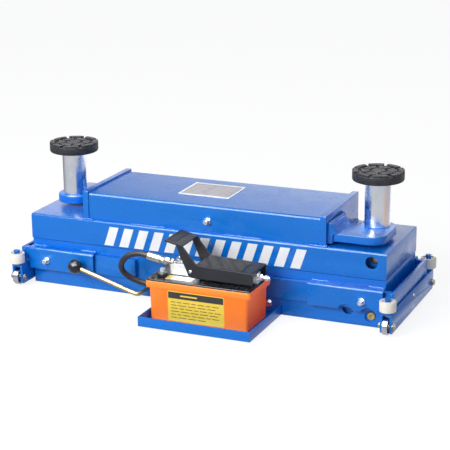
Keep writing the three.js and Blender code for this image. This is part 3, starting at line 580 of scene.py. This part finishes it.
def clamp_screw(node):
    """A hexagon screw with a lock nut and washer on a wall that faces along y."""
    low, high, centre = around(node, "y")
    outward = 1 if low.y > 0 else -1
    inner, outer = (low.y, high.y) if outward > 0 else (high.y, low.y)
    mesh = bmesh.new()

    def between(a, b):
        return sorted((outer - outward * a, outer - outward * b))

    turned(mesh, chamfered(8.2, *between(12.6, 13.9), 0.3), "y", centre, 40)
    hexagon(mesh, "y", 13, centre, *between(7.6, 12.6))
    hexagon(mesh, "y", 11, centre, *between(0, 5.2))
    thread(mesh, "y", 4, centre, *sorted((outer - outward * 4, inner)))
    stand_in(piece(f"{node}_threaded", mesh, "zinc", BODY_OF[node], 0.2), node)


def axle_bolt(side, depth):
    """The wheel's axle bolt along x: head outside, nut inside, a washer under the head."""
    node = f"axle_bolt_{side}_{depth}"
    low, high, centre = around(node, "x")
    sign = SIDES[side]
    channel = span(f"end_carriage_{side}")
    head, tail, outer = (high.x, low.x, channel[1].x) if sign > 0 else (low.x, high.x, channel[0].x)
    inner = outer - sign * CHANNEL_WIDTH
    mesh = bmesh.new()

    def along(a, b):
        return sorted((a, b))

    hexagon(mesh, "x", 13, centre, *along(outer + sign * 1.6, head))
    washer = chamfered(8.5, *along(outer + sign * 0.2, outer + sign * 1.6), 0.3)
    turned(mesh, washer, "x", centre, 40)
    hexagon(mesh, "x", 13, centre, *along(inner - sign * 0.3, inner - sign * 4.5))
    thread(mesh, "x", 5, centre, *along(tail, inner))
    turned(mesh, chamfered(5, *along(inner - sign, outer + sign * 2), 0.3), "x", centre, 32)
    stand_in(piece(f"{node}_turned", mesh, "dull_zinc", BODY_OF[node], 0.2), node)


def pivot_pin(node):
    """A plated pin across the box: chamfered ends, each with a drilled centre."""
    low, high, centre = around(node, "y")
    radius = (high.x - low.x) / 2
    a, b = low.y, high.y
    profile = [
        (0, a + 5), (2.6, a + 3.5), (2.6, a + 1), (3.4, a), (radius - 1.2, a), (radius, a + 1.2),
        (radius, b - 1.2), (radius - 1.2, b), (3.4, b), (2.6, b - 1), (2.6, b - 3.5), (0, b - 5),
    ]
    mesh = turned(bmesh.new(), profile, "y", centre, 48)
    stand_in(piece(f"{node}_turned", mesh, SLOT_OF[node], BODY_OF[node]), node)


def channel_stud(side):
    """A small domed screw in the middle of the wheel channel's outer wall."""
    low, high = span(f"end_carriage_{side}")
    outward = SIDES[side]
    face = high.x if outward > 0 else low.x
    mesh = bmesh.new()
    profile = [(0, -1), (4.6, -1), (4.6, 1.2), (3.8, 2.2), (1.8, 2.9), (0, 2.9)]
    profile = [(r, face + outward * d) for r, d in profile]
    turned(mesh, profile, "x", (3, 42.6), 24)
    piece(f"channel_stud_{side}", mesh, "dull_zinc", f"carriage_{side}")


def tray_bolt(node):
    """A hexagon bolt with a washer, from the tray into the base's wall."""
    low, high, centre = around(node, "y")
    mesh = bmesh.new()
    hexagon(mesh, "y", 13, centre, low.y, low.y + 6.2)
    turned(mesh, chamfered(8.5, low.y + 6.2, low.y + 7.2, 0.3), "y", centre, 40)
    turned(mesh, chamfered(4, low.y + 7, high.y, 0.4), "y", centre, 24)
    stand_in(piece(f"{node}_hexagon", mesh, "zinc", BODY_OF[node], 0.2), node)


def cap_screw(mesh, x, y, z, radius):
    """A small socket screw that stands on a face that points up."""
    socket = radius * 0.5
    profile = [
        (0, z - 1), (radius, z - 1), (radius, z + radius * 0.8), (radius * 0.88, z + radius),
        (socket, z + radius), (socket, z + radius * 0.3), (0, z + radius * 0.3),
    ]
    turned(mesh, profile, "z", (x, y), 20)


# ---------------------------------------------------------------- foot pump


def ring_at(x, y, radius, z):
    """A level rounded rectangle as points."""
    return [Vector((a, b, z)) for a, b in round_rectangle(x, y, radius)]


def oil_tank():
    """A tank with rounded edges under a thick lip."""
    low, high = span("oil_tank")
    inset_x, inset_y = 2 * TANK_INSET, TANK_INSET

    def at(z, dx, dy, radius):
        return ring_at((low.x + dx, high.x - dx), (low.y + dy, high.y - dy), radius, z)

    bottom, top = low.z, high.z
    under = top - TANK_LIP
    levels = [
        at(bottom, inset_x + 3.6, inset_y + 3.6, 6),
        at(bottom + 0.6, inset_x + 2.3, inset_y + 2.3, 7),
        at(bottom + 2.2, inset_x + TANK_DRAFT, inset_y + TANK_DRAFT, 8),
        at(under - 1.5, inset_x, inset_y, 8),
        at(under, inset_x - 1, inset_y - 1, 8),
        at(under, 1.4, 1.4, 7),
        at(under + 0.5, 0.5, 0.5, 7),
        at(under + 1.6, 0, 0, 7),
        at(top - 1.4, 0, 0, 7),
        at(top - 0.4, 0.5, 0.5, 7),
        at(top, 1.4, 1.4, 6),
    ]
    mesh = loft(bmesh.new(), levels)
    stand_in(piece("enamelled_tank", mesh, "orange_paint", "base", 0, 50), "oil_tank")


def tank_cover():
    """A moulded cover: rounded rim, a sunk floor under the treadle, and four corner screws."""
    low, high = span("tank_cover")

    def at(z, inset, radius):
        return ring_at((low.x + inset, high.x - inset), (low.y + inset, high.y - inset), radius, z)

    levels = [
        at(low.z, 0.5, 6),
        at(low.z + 0.8, 0, 6),
        at(high.z - 1.2, 0, 6),
        at(high.z - 0.3, 0.6, 6),
        at(high.z, 1.8, 6),
        at(high.z, 6.5, 5),
        at(high.z - 0.4, 7.2, 5),
        at(high.z - COVER_SINK, 7.8, 5),
    ]
    mesh = loft(bmesh.new(), levels)
    stand_in(piece("moulded_cover", mesh, "black_plastic", "base", 0, 40), "tank_cover")
    screws = bmesh.new()
    for x in (low.x + 13, high.x - 13):
        for y in (low.y + 13, high.y - 13):
            cap_screw(screws, x, y, high.z - COVER_SINK, 3.2)
    piece("cover_screws", screws, "black_plastic", "base")


MOTOR_HALF = 11


def pump_block():
    """The cast block with its fittings, and the air motor with its end block."""
    low, high = span("pump_block")
    left, right, foot, top = low.x, low.x + 74, low.z, high.z
    middle = (low.y + high.y) / 2
    mesh = bmesh.new()
    outline = [(left, foot), (right, foot), (right, top - 9), (right - 12, top)]
    outline += [(left + 7, top), (left, top - 4)]
    slab(mesh, outline, "y", low.y, high.y)
    stand_in(piece("machined_block", mesh, "aluminium", "base", 1.4, segments=3), "pump_block")
    axle = (low.y + 14, (foot + top) / 2)
    motor = bmesh.new()
    turned(motor, chamfered(10.5, right - 2, high.x - 15, 0.8), "x", axle, 40)
    for x in range(round(right) + 10, round(high.x) - 24, 24):
        turned(motor, chamfered(11.6, x, x + 5, 1.2), "x", axle, 40)
    piece("air_motor", motor, "steel", "base", 0.5)
    end = bmesh.new()
    outline = round_rectangle((axle[0] - MOTOR_HALF, axle[0] + MOTOR_HALF), (foot, top), 3)
    slab(end, outline, "x", high.x - 17, high.x)
    piece("motor_end_block", end, "aluminium", "base", 1.0)
    fittings = bmesh.new()
    hexagon(fittings, "z", 14, (left + 13, middle + 8), top - 1, top + 7)
    turned(fittings, chamfered(5, top + 6, top + 11, 1.2), "z", (left + 13, middle + 8), 24)
    for x, y in ((left + 9, low.y + 7), (left + 27, low.y + 7), (left + 30, high.y - 7)):
        cap_screw(fittings, x, y, top, 3.6)
    piece("block_fittings", fittings, "steel", "base")


def treadle():
    """The cast foot treadle: skirts, ribbed pad, raised heel plate with its comb of bars."""
    name = "foot_treadle"
    low, high = span(name)
    body = BODY_OF[name]
    front, back = low.y + 1, high.y - 1
    sheet = 4.5
    mesh = bmesh.new()
    skirt = [(-0.5, 182.5), (27, 119.5)]
    skirt += arc((36.5, 118.5), 9, 205, 268, 5)
    skirt += [(46, 109.2), (186.2, 108.8), (186.2, 135.6)]
    skirt += [(58, 140.1), (51, 141.4), (46, 144.8), (15, 182.5)]
    for a, b in ((front, front + sheet), (back - sheet, back)):
        slab(mesh, skirt, "y", a, b)
    pad = [(44, 136.5), (186.2, 131.8), (186.2, 135.9), (46, 140.8)]
    slab(mesh, pad, "y", front + 1, back - 1)
    heel = [(-26.6, 193.2), (-28, 192.2), (-28, 188.6), (15.6, 179.6), (18, 183.8)]
    slab(mesh, heel, "y", low.y, high.y)
    stand_in(piece("cast_treadle", mesh, "black_paint", body, 1.3, segments=3), name)

    def pad_top(x):
        return 140.9 - (x - 46) * 0.0352

    def heel_top(x):
        return 193.2 - (x + 26.6) * 0.211

    ribs = bmesh.new()

    def rows(count):
        return [front + 9 + (back - front - 18) * i / (count - 1) for i in range(count)]

    def frame_bars(xs, ys, top):
        """A raised rectangle of thin bars on a slope."""
        for y in ys:
            swept(ribs, [(x, y, top(x)) for x in xs], 0.8, 6)
        for x in xs:
            swept(ribs, [(x, y, top(x)) for y in ys], 0.8, 6)

    for i, y in enumerate(rows(11)):
        points = []
        for k in range(41):
            x = 50 + 104 * k / 40
            points.append((x, y + 1.2 * math.sin(x / 5.2 + i * 0.9), pad_top(x) + 0.2))
        swept(ribs, points, 1.25, 8)
    frame_bars((159, 182), (front + 6, back - 6), pad_top)
    for y in rows(6):
        swept(ribs, [(x, y, heel_top(x) - 0.5) for x in (-1, 15)], 1.6, 8)
    frame_bars((-22, -5), (front + 8, back - 8), heel_top)
    piece("treadle_ribs", ribs, "black_paint", body, 0, 60)
    low, high, centre = around("treadle_pin", "y")
    pin = turned(bmesh.new(), chamfered(4, low.y, high.y, 0.8), "y", centre, 32)
    stand_in(piece("turned_treadle_pin", pin, "zinc", "base"), "treadle_pin")


def vent_knob():
    """The tank's vent: fluted black skirt and pale cap."""
    low, high, centre = around("vent_knob", "z")
    skirt = bmesh.new()
    levels = []
    for z, scale in ((low.z, 1.0), (low.z + 6.5, 1.0), (low.z + 8, 0.88)):
        ring = []
        for i in range(48):
            t = 2 * math.pi * i / 48
            r = 12.4 * scale * (1 + 0.045 * math.cos(t * 12))
            ring.append(Vector((centre[0] + r * math.cos(t), centre[1] + r * math.sin(t), z)))
        levels.append(ring)
    loft(skirt, levels)
    made = piece("vent_skirt", skirt, "black_plastic", BODY_OF["vent_knob"], 0, 45)
    stand_in(made, "vent_knob")
    cap = bmesh.new()
    profile = [(0, low.z + 7), (5.7, low.z + 7), (6.0, low.z + 9), (6.0, high.z - 3)]
    profile += [(5.5, high.z - 1.2), (4.2, high.z - 0.3), (2, high.z), (0, high.z)]
    turned(cap, profile, "z", centre, 32)
    piece("vent_cap", cap, "grey_plastic", BODY_OF["vent_knob"])


def tilted(mesh, degrees, pivot):
    """Turns a mesh about a line along y through pivot."""
    turn = Matrix.Rotation(math.radians(degrees), 3, "Y")
    bmesh.ops.rotate(mesh, verts=mesh.verts, cent=Vector(pivot), matrix=turn)


OUTLET = (-30, -198, 119)
OUTLET_TILT = 10
COUPLING_LENGTH = 69


def hose_coupling():
    """Two nuts and a crimped sleeve with its pressed flats."""
    x, y, z = OUTLET
    centre = (y, z)
    mesh = bmesh.new()
    hexagon(mesh, "x", 19, centre, x - 10, x - 0.8)
    turned(mesh, chamfered(6, x - 14, x - 9, 0.5), "x", centre, 32)
    hexagon(mesh, "x", 17, centre, x - 26, x - 13)
    turned(mesh, chamfered(7.5, x - 35, x - 25, 0.6), "x", centre, 32)
    levels = []
    for share in range(0, 25):
        t = share / 24
        depth = x - COUPLING_LENGTH + t * (COUPLING_LENGTH - 34)
        groove = 0.35 if share % 6 in (2, 3) else 0.0
        end = 0.8 if share in (0, 24) else 0.0
        ring = []
        for i in range(48):
            angle = 2 * math.pi * i / 48
            r = 9.4 - groove - end - 0.45 * max(0.0, math.cos(angle * 8)) ** 0.5
            ring.append(Vector((depth, y + r * math.cos(angle), z + r * math.sin(angle))))
        levels.append(ring)
    loft(mesh, levels)
    tilted(mesh, OUTLET_TILT, OUTLET)
    stand_in(piece("crimped_coupling", mesh, "warm_zinc", "base", 0, 40), "hose_coupling")


def smooth_path(points, steps):
    """A centripetal-like curve through points, sampled evenly per stretch."""
    points = [Vector(p) for p in points]
    padded = [points[0] * 2 - points[1], *points, points[-1] * 2 - points[-2]]
    found = []
    for a, b, c, d in zip(padded, padded[1:], padded[2:], padded[3:]):
        for k in range(steps):
            t = k / steps
            found.append(
                0.5 * (2 * b + (c - a) * t + (2 * a - 5 * b + 4 * c - d) * t**2
                       + (3 * b - a - 3 * c + d) * t**3)
            )
    return [*found, points[-1]]


def hose():
    """A rubber hose from the coupling, round to the left and back behind the tank."""
    tilt = math.radians(OUTLET_TILT)
    reach = COUPLING_LENGTH - 3
    start = Vector(OUTLET) + Vector((-reach * math.cos(tilt), 0, reach * math.sin(tilt)))
    wall = span("base_frame")[0].y + 1.5
    points = [
        start,
        start + Vector((-28, 1, 2)),
        (-153, -193, 122),
        (-174, -184, 101),
        (-181, -172, 78),
        (-172, -160, 60),
        (-156, -149, 47),
        (-133, -140, 39),
        (-95, -137, 38),
        (-60, -137, 45),
        (-34, -136, 53),
        (-18, -133, 56),
        (-14, wall, 56),
    ]
    mesh = swept(bmesh.new(), smooth_path(points, 7), 7, 24)
    stand_in(piece("rubber_hose", mesh, "rubber", "base", 0, 60), "hydraulic_hose")


def air_inlet():
    """The plug nipple for the air line: hexagon, neck, barb ring and bore."""
    low, high, centre = around("air_inlet_nipple", "x")
    mesh = bmesh.new()
    a, b = low.x, high.x
    hexagon(mesh, "x", 14, centre, a, a + 9)
    profile = [
        (0, a + 8), (5, a + 8), (5, a + 13), (6.2, a + 14), (7, a + 15), (7, a + 20.5),
        (6, a + 21.6), (4.6, a + 22.4), (4.3, b), (2.5, b), (2.5, b - 8), (0, b - 8),
    ]
    turned(mesh, profile, "x", centre, 32)
    stand_in(piece("plug_nipple", mesh, "zinc", "base", 0.2), "air_inlet_nipple")


# ---------------------------------------------------------------- lock lever


def lock_lever():
    """The cranked handle with its pawl, and the ball knob."""
    low, high = span("lock_lever")
    knob_low, knob_high = span("lever_knob")
    knob = (knob_low + knob_high) / 2
    radius = 5
    corner = Vector((-141, low.y + radius, 18.6))
    outward = (Vector((knob.x, corner.y, knob.z)) - corner).normalized()
    bend = 14
    start, stop = corner + outward * bend, corner + Vector((0, bend, 0))
    points = [knob - outward * 10, corner.lerp(knob, 0.5)]
    for i in range(9):
        t = i / 8
        points.append(start * (1 - t) ** 2 + corner * 2 * t * (1 - t) + stop * t**2)
    points.append(Vector((corner.x, high.y, corner.z)))
    mesh = swept(bmesh.new(), points, radius, 24)
    turned(mesh, chamfered(9, -75, -65, 0.8), "y", (corner.x, corner.z), 32)
    angle = math.radians(20)
    along = (math.cos(angle), math.sin(angle))
    across = (-along[1], along[0])
    finger = [
        (corner.x - across[0] * 5, corner.z - across[1] * 5),
        (corner.x + along[0] * 27 - across[0] * 5, corner.z + along[1] * 27 - across[1] * 5),
        (corner.x + along[0] * 27, corner.z + along[1] * 27),
        (corner.x + across[0] * 8, corner.z + across[1] * 8),
    ]
    slab(mesh, finger, "y", -75, -65)
    stand_in(piece("cranked_lever", mesh, "yellow_zinc", "lever", 0, 50), "lock_lever")
    ball = bmesh.new()
    size = (knob_high.x - knob_low.x) / 2
    profile = [(0, -size)]
    for i in range(1, 15):
        t = math.radians(-90 + i * 12)
        if size * math.cos(t) > 8.2 or t < 0:
            profile.append((size * math.cos(t), size * math.sin(t)))
    profile += [(8.2, size * 0.9), (7.4, size * 0.94), (5.3, size * 0.94), (5.3, 2), (0, 2)]
    turned(ball, profile, "z", (0, 0), 48)
    toward = (-outward).to_track_quat("Z", "Y").to_matrix()
    bmesh.ops.transform(ball, matrix=toward.to_4x4(), verts=ball.verts)
    bmesh.ops.translate(ball, vec=knob, verts=ball.verts)
    stand_in(piece("ball_knob", ball, "black_plastic", "lever", 0, 50), "lever_knob")


# ---------------------------------------------------------------- welds


def platform_welds():
    """Beads round the telescope box, which stands on the platform box, and its end flanges."""
    platform_end = span("platform_channel")[1].x
    box_end = span("telescope_box")[1].x
    floor = PLATFORM_TOP
    mesh = bmesh.new()
    for turn in (1, -1):
        for a, b in ((-184, -91), (57, 155)):
            edge = turn * -114.5
            weld(mesh, (turn * a, edge, floor + 0.2), (turn * b, edge, floor + 0.2), 2.6)
        for a, b in ((269, 314), (-311, -283)):
            edge = turn * -116.5
            weld(mesh, (turn * a, edge, floor + 0.4), (turn * b, edge, floor + 0.4), 3.3)
        outer = turn * box_end
        weld(mesh, (outer, turn * 4, floor + 1.4), (outer, turn * 115, floor + 1.4), 3.6)
        weld(mesh, (outer, turn * -115, floor + 1), (outer, turn * -109, floor + 1), 3.2)
        wall = turn * 296.8
        weld(mesh, (wall, -turn * 113.4, 181), (wall, -turn * 113.4, 232), 1.8)
    edge = platform_end - 1.2
    weld(mesh, (edge, -108, floor - 1.2), (edge, 108, floor - 1.2), 1.6, 4.4)
    piece("platform_welds", mesh, "blue_paint", "platform", 0, 50)


def sleeve_welds():
    """Short beads along the carriage sleeves' top edges."""
    mesh = bmesh.new()
    for side, sx in SIDES.items():
        for depth, sy in DEPTHS.items():
            top = span(f"sleeve_{side}_{depth}")[1].z
            for a, b in ((277, 322), (413, 452)):
                weld(mesh, (sx * a, sy * 119.3, top - 0.4), (sx * b, sy * 119.3, top - 0.4), 3.2)
    piece("sleeve_welds", mesh, "blue_paint", "base", 0, 50)


def arm_welds(side):
    """The wide weld from the arm's tube down to its post plate, and beads round the tube."""
    sx = SIDES[side]
    plate_low, plate_top = 184, 203
    mouth = 319.9
    tube_top = 226
    section = [
        (mouth, tube_top), (mouth + 3.6, tube_top - 3), (mouth + 7, plate_top + 11),
        (mouth + 12, plate_top + 3), (mouth + 14.5, plate_top - 0.6), (mouth, plate_top - 0.6),
    ]
    section = [(sx * a, b) for a, b in section]
    front, back = -sx * 104, -sx * 7
    mesh = bmesh.new()
    ramp_weld(mesh, section, (sx * mouth, plate_top - 0.6), front, back)
    weld(mesh, (sx * mouth, front, plate_low - 1), (sx * mouth, back, plate_low - 1), 3.4)
    weld(mesh, (sx * mouth, front, plate_low), (sx * mouth, front, plate_top), 3.0)
    piece(f"arm_welds_{side}", mesh, "blue_paint", f"arm_{side}", 0, 50)


def carriage_welds(side):
    """Beads where the carriage's arms meet its cross plate and its wheel channel."""
    sx = SIDES[side]
    plate = sx * 471.6
    mesh = bmesh.new()
    for sy in (1, -1):
        weld(mesh, (plate, sy * 131.2, 60), (plate, sy * 131.2, 88), 2.4)
        weld(mesh, (sx * 459, sy * 131.2, 55.4), (sx * 472, sy * 131.2, 55.4), 2.6)
    piece(f"carriage_welds_{side}", mesh, "blue_paint", f"carriage_{side}", 0, 50)


# ---------------------------------------------------------------- prints


def panel(mesh, x, y, z, material=0):
    """A thin printed patch: a box whose faces all take one material index."""
    before = set(mesh.faces)
    box(mesh, x, y, z)
    for face in set(mesh.faces) - before:
        face.material_index = material


def platform_stripes():
    """Plain slanted white bars, all of one width, along the platform's front and rear walls."""
    low, high = span("platform_channel")
    bottom, top = 116, 163
    start, stop, count, slant, film = -254, 266, 13, 16, 0.25
    pitch = (stop - start - slant) / (count - 0.4)
    wide = pitch * 0.6
    for name, turn, wall in (("front", 1, low.y), ("rear", -1, high.y)):
        mesh = bmesh.new()
        ends = sorted((wall - turn * film, wall + turn * 0.1))
        for i in range(count):
            x = start + i * pitch
            outline = [(x, bottom), (x + wide, bottom), (x + wide + slant, top), (x + slant, top)]
            slab(mesh, [(turn * a, b) for a, b in outline], "y", *ends)
        piece(f"white_bars_{name}", mesh, "white_print", "platform")


def data_plate():
    """A thin metal plate on the telescope box: a grey panel with pale ruled bars, four rivets."""
    top = BOX_TOP
    x, y = (-93, 40), (-40, 69)
    depth = y[1] - y[0]
    mesh = bmesh.new()
    slab(mesh, round_rectangle(x, y, 3), "z", top - 0.2, top + 1.2)
    for cx in (x[0] + 4, x[1] - 4):
        for cy in (y[0] + 4, y[1] - 4):
            turned(mesh, chamfered(2, top, top + 2.1, 0.7), "z", (cx, cy), 16)
    piece("data_plate", mesh, "aluminium", "platform", 0.2)
    panel = bmesh.new()
    box(panel, (x[0] + 6, x[1] - 4), (y[0] + depth * 0.07, y[0] + depth * 0.92), (top + 1.1, top + 1.35))
    piece("data_plate_panel", panel, "plate_print", "platform")
    bars = bmesh.new()
    for i in range(7):
        cy = y[0] + depth * (0.15 + 0.1 * i)
        level = (top + 1.3, top + 1.5)
        box(bars, (x[0] + 12, x[0] + 58 - (i % 3) * 7), (cy, cy + 2.6), level)
        box(bars, (x[0] + 66, x[1] - 14 - (i % 2) * 10), (cy, cy + 2.6), level)
    piece("data_plate_bars", bars, "pale_print", "platform")


def tank_label():
    """A yellow film with a dark band along its head and plain ruled lines."""
    low, high = span("oil_tank")
    x, z = (-15.5, 124), (7, 78.5)

    def surface(height):
        return low.y + TANK_INSET + TANK_DRAFT * (79.5 - height) / 74

    def film(mesh, outline, lift):
        front = [Vector((a, surface(b) - lift, b)) for a, b in outline]
        back = [Vector((a, surface(b) + 0.6, b)) for a, b in outline]
        loft(mesh, [back, front])

    def rectangle(a, b):
        return [(a[0], b[0]), (a[1], b[0]), (a[1], b[1]), (a[0], b[1])]

    sheet = bmesh.new()
    film(sheet, round_rectangle(x, z, 2), 0.25)
    piece("tank_label", sheet, "yellow_print", "base")
    head = bmesh.new()
    film(head, rectangle((x[0] + 1.5, x[1] - 1.5), (61, 76.5)), 0.40)
    piece("tank_label_head", head, "black_print", "base")
    mark = bmesh.new()
    film(mark, rectangle((16, 58), (67, 70.5)), 0.55)
    piece("tank_label_mark", mark, "yellow_print", "base")
    lines = bmesh.new()
    for row in range(6):
        height = 51.5 - row * 7.4
        start = x[0] + 8
        while start < x[1] - 20:
            wide = 11 + (row * 5 + round(start)) % 4 * 3
            stop = min(start + wide, x[1] - 8)
            film(lines, rectangle((start, stop), (height, height + 1.8)), 0.40)
            start = stop + 4
            if row == 5 and start > 60:
                break
    piece("tank_label_lines", lines, "brown_print", "base")


def cover_label():
    """A small silver label on the cover with a yellow end and plain lines."""
    top = span("tank_cover")[1].z - COVER_SINK
    mesh = bmesh.new()
    box(mesh, (-30, 36), (-252, -224), (top, top + 0.3))
    piece("cover_label", mesh, "aluminium", "base")
    yellow = bmesh.new()
    box(yellow, (-29, -16), (-251, -225), (top + 0.2, top + 0.45))
    piece("cover_label_field", yellow, "yellow_print", "base")
    lines = bmesh.new()
    for i in range(3):
        box(lines, (-10, 30 - i * 7), (-246 + i * 6, -244.6 + i * 6), (top + 0.2, top + 0.45))
    piece("cover_label_lines", lines, "pale_print", "base")


# ---------------------------------------------------------------- the whole object

ROUNDINGS = {
    "base_frame": 1.2, "platform_channel": 1.0, "telescope_box": 1.4, "pump_tray": 0.8,
    "extension_arm_left": 1.8, "extension_arm_right": 1.8,
    "end_carriage_left": 1.0, "end_carriage_right": 1.0,
    "sleeve_left_front": 1.2, "sleeve_left_rear": 1.2,
    "sleeve_right_front": 1.2, "sleeve_right_rear": 1.2,
}
SMALL_ROUNDING = 0.6


def dress_frame():
    """Every CAD node that still shows takes its finish and rounded edges."""
    for node, obj in NODES.items():
        if not obj.hide_render:
            refine(node, ROUNDINGS.get(node, SMALL_ROUNDING), 3 if node in ROUNDINGS else 2)


for side in SIDES:
    rubber_pad(side)
    post(side)
    channel_stud(side)
    arm_welds(side)
    carriage_welds(side)
    for depth in DEPTHS:
        wheel(side, depth)
        guide_roller(side, depth)
        clamp_screw(f"carriage_lock_bolt_{side}_{depth}")
        axle_bolt(side, depth)
for node in ("arm_lock_bolt_front", "arm_lock_bolt_rear"):
    clamp_screw(node)
for node in ("tray_bolt_1", "tray_bolt_2"):
    tray_bolt(node)
pivot_pin("lower_pivot_pin")
oil_tank()
tank_cover()
pump_block()
treadle()
vent_knob()
hose_coupling()
hose()
air_inlet()
lock_lever()
platform_welds()
sleeve_welds()
platform_stripes()
data_plate()
tank_label()
cover_label()
dress_frame()


# ---------------------------------------------------------------- floor, light and camera

AZIMUTH, ELEVATION, ROLL = 23.4, 16.7, -0.6
CAMERA_PLACE = Vector((1.328, -3.032, 1.153))
LENS = 114.4
SHIFT = -0.0031


def by_ray(tree, seen, mirrored, lit):
    """A value that depends on who asks: the camera, a reflection, or soft light."""
    path = tree.nodes.new("ShaderNodeLightPath")
    value = lit
    for share, other in (("Is Glossy Ray", mirrored), ("Is Camera Ray", seen)):
        mix = tree.nodes.new("ShaderNodeMix")
        mix.data_type = "RGBA"
        tree.links.new(path.outputs[share], mix.inputs[0])
        for slot, entry in ((6, value), (7, other)):
            if isinstance(entry, bpy.types.NodeSocket):
                tree.links.new(entry, mix.inputs[slot])
            else:
                mix.inputs[slot].default_value = entry
        value = mix.outputs[2]
    return value


def floor():
    """A white floor: its glow keeps shadows faint, and reflections see it as lit unevenly."""
    bpy.ops.mesh.primitive_plane_add(size=60, location=(0, 0, cad_box[0][2]))
    plane = bpy.context.object
    plane.name = "floor"
    s = Shader("floor")
    place = s.node("ShaderNodeSeparateXYZ", {"Vector": s.place}).outputs
    behind = s.range(place["Y"], 0.0, 1.0, -0.5, 0.5)
    leftward = s.range(place["X"], 1.0, 0.0, -1.0, -0.5)
    rightward = s.range(place["X"], 0.0, 1.0, 0.75, 0.95)
    far = s.mix(rightward, (1.08, 1.10, 1.20, 1), (0.46, 0.48, 0.58, 1))
    far = s.mix(leftward, far, (0.22, 0.24, 0.28, 1))
    mirrored = s.mix(behind, (0.60, 0.62, 0.66, 1), far)
    offset = s.node("ShaderNodeVectorMath", {0: s.place, 1: (1.25, 0.1, 0)}, operation="DISTANCE")
    warm = s.range(offset.outputs["Value"], 1.0, 0.0, 0.15, 0.4)
    mirrored = s.mix(warm, mirrored, (0.70, 0.42, 0.28, 1))
    glow = by_ray(s.tree, (0.84, 0.84, 0.84, 1), mirrored, (0, 0, 0, 1))
    albedo = by_ray(s.tree, (0.26, 0.26, 0.26, 1), (0, 0, 0, 1), (0.6, 0.6, 0.6, 1))
    s.set(Base_Color=albedo, Emission_Color=glow, Emission_Strength=1.0, Roughness=1.0)
    s.set(Specular_IOR_Level=0.0)
    plane.data.materials.append(s.material)


def area_light(name, place, target, size, power):
    """A rectangular lamp that faces a target."""
    data = bpy.data.lights.new(name, "AREA")
    data.shape = "RECTANGLE"
    data.size, data.size_y = size
    data.energy = power
    obj = bpy.data.objects.new(name, data)
    obj.location = place
    obj.rotation_euler = (Vector(place) - Vector(target)).to_track_quat("Z", "Y").to_euler()
    bpy.context.scene.collection.objects.link(obj)


def studio():
    """One soft lamp at the front left, in a white room. Reflections see a bright far wall, a dim
    ceiling, and two lamps, overhead and high in front, that only curved edges mirror."""
    world = bpy.data.worlds.new("studio")
    bpy.context.scene.world = world
    world.use_nodes = True
    tree = world.node_tree
    background = tree.nodes["Background"]
    ray = tree.nodes.new("ShaderNodeTexCoord").outputs["Generated"]
    split = tree.nodes.new("ShaderNodeSeparateXYZ")
    tree.links.new(ray, split.inputs[0])

    def ramp(socket, start, stop, low, high):
        made = tree.nodes.new("ShaderNodeMapRange")
        made.interpolation_type = "SMOOTHSTEP"
        tree.links.new(split.outputs[socket], made.inputs["Value"])
        for key, value in zip(("From Min", "From Max", "To Min", "To Max"), (start, stop, low, high)):
            made.inputs[key].default_value = value
        return made.outputs["Result"]

    def both(operation, a, b):
        made = tree.nodes.new("ShaderNodeMath")
        made.operation = operation
        tree.links.new(a, made.inputs[0])
        tree.links.new(b, made.inputs[1])
        return made.outputs[0]

    horizon = both("MULTIPLY", ramp("Y", -0.3, 0.4, 0.4, 1.5), ramp("Z", 0.5, 0.72, 1.0, 0.16))
    front = both("MULTIPLY", ramp("Y", -0.2, -0.4, 0.0, 1.0), ramp("Z", 0.52, 0.58, 0.0, 15.0))
    lamps = both("ADD", front, ramp("Z", 0.93, 0.98, 0.0, 8.0))
    mirrored = both("ADD", horizon, lamps)
    glow = by_ray(tree, (1, 1, 1, 1), mirrored, (0.40, 0.41, 0.42, 1))
    tree.links.new(glow, background.inputs["Color"])
    background.inputs["Strength"].default_value = 1.0
    area_light("key", (-0.9, -3.0, 1.7), (0, 0, 0.1), (2.0, 1.2), 96)


def camera():
    """A long lens from the front right and above."""
    data = bpy.data.cameras.new("camera")
    data.lens = LENS
    data.shift_x = SHIFT
    obj = bpy.data.objects.new("camera", data)
    a, e = math.radians(AZIMUTH), math.radians(ELEVATION)
    back = Vector((math.sin(a) * math.cos(e), -math.cos(a) * math.cos(e), math.sin(e)))
    right = Vector((math.cos(a), math.sin(a), 0))
    up = back.cross(right)
    turn = Matrix((right, up, back)).transposed().to_4x4()
    roll = Matrix.Rotation(math.radians(ROLL), 4, "Z")
    obj.matrix_world = Matrix.Translation(CAMERA_PLACE) @ turn @ roll
    bpy.context.scene.collection.objects.link(obj)
    bpy.context.scene.camera = obj


floor()
studio()
camera()
bpy.context.scene.view_settings.view_transform = "Standard"
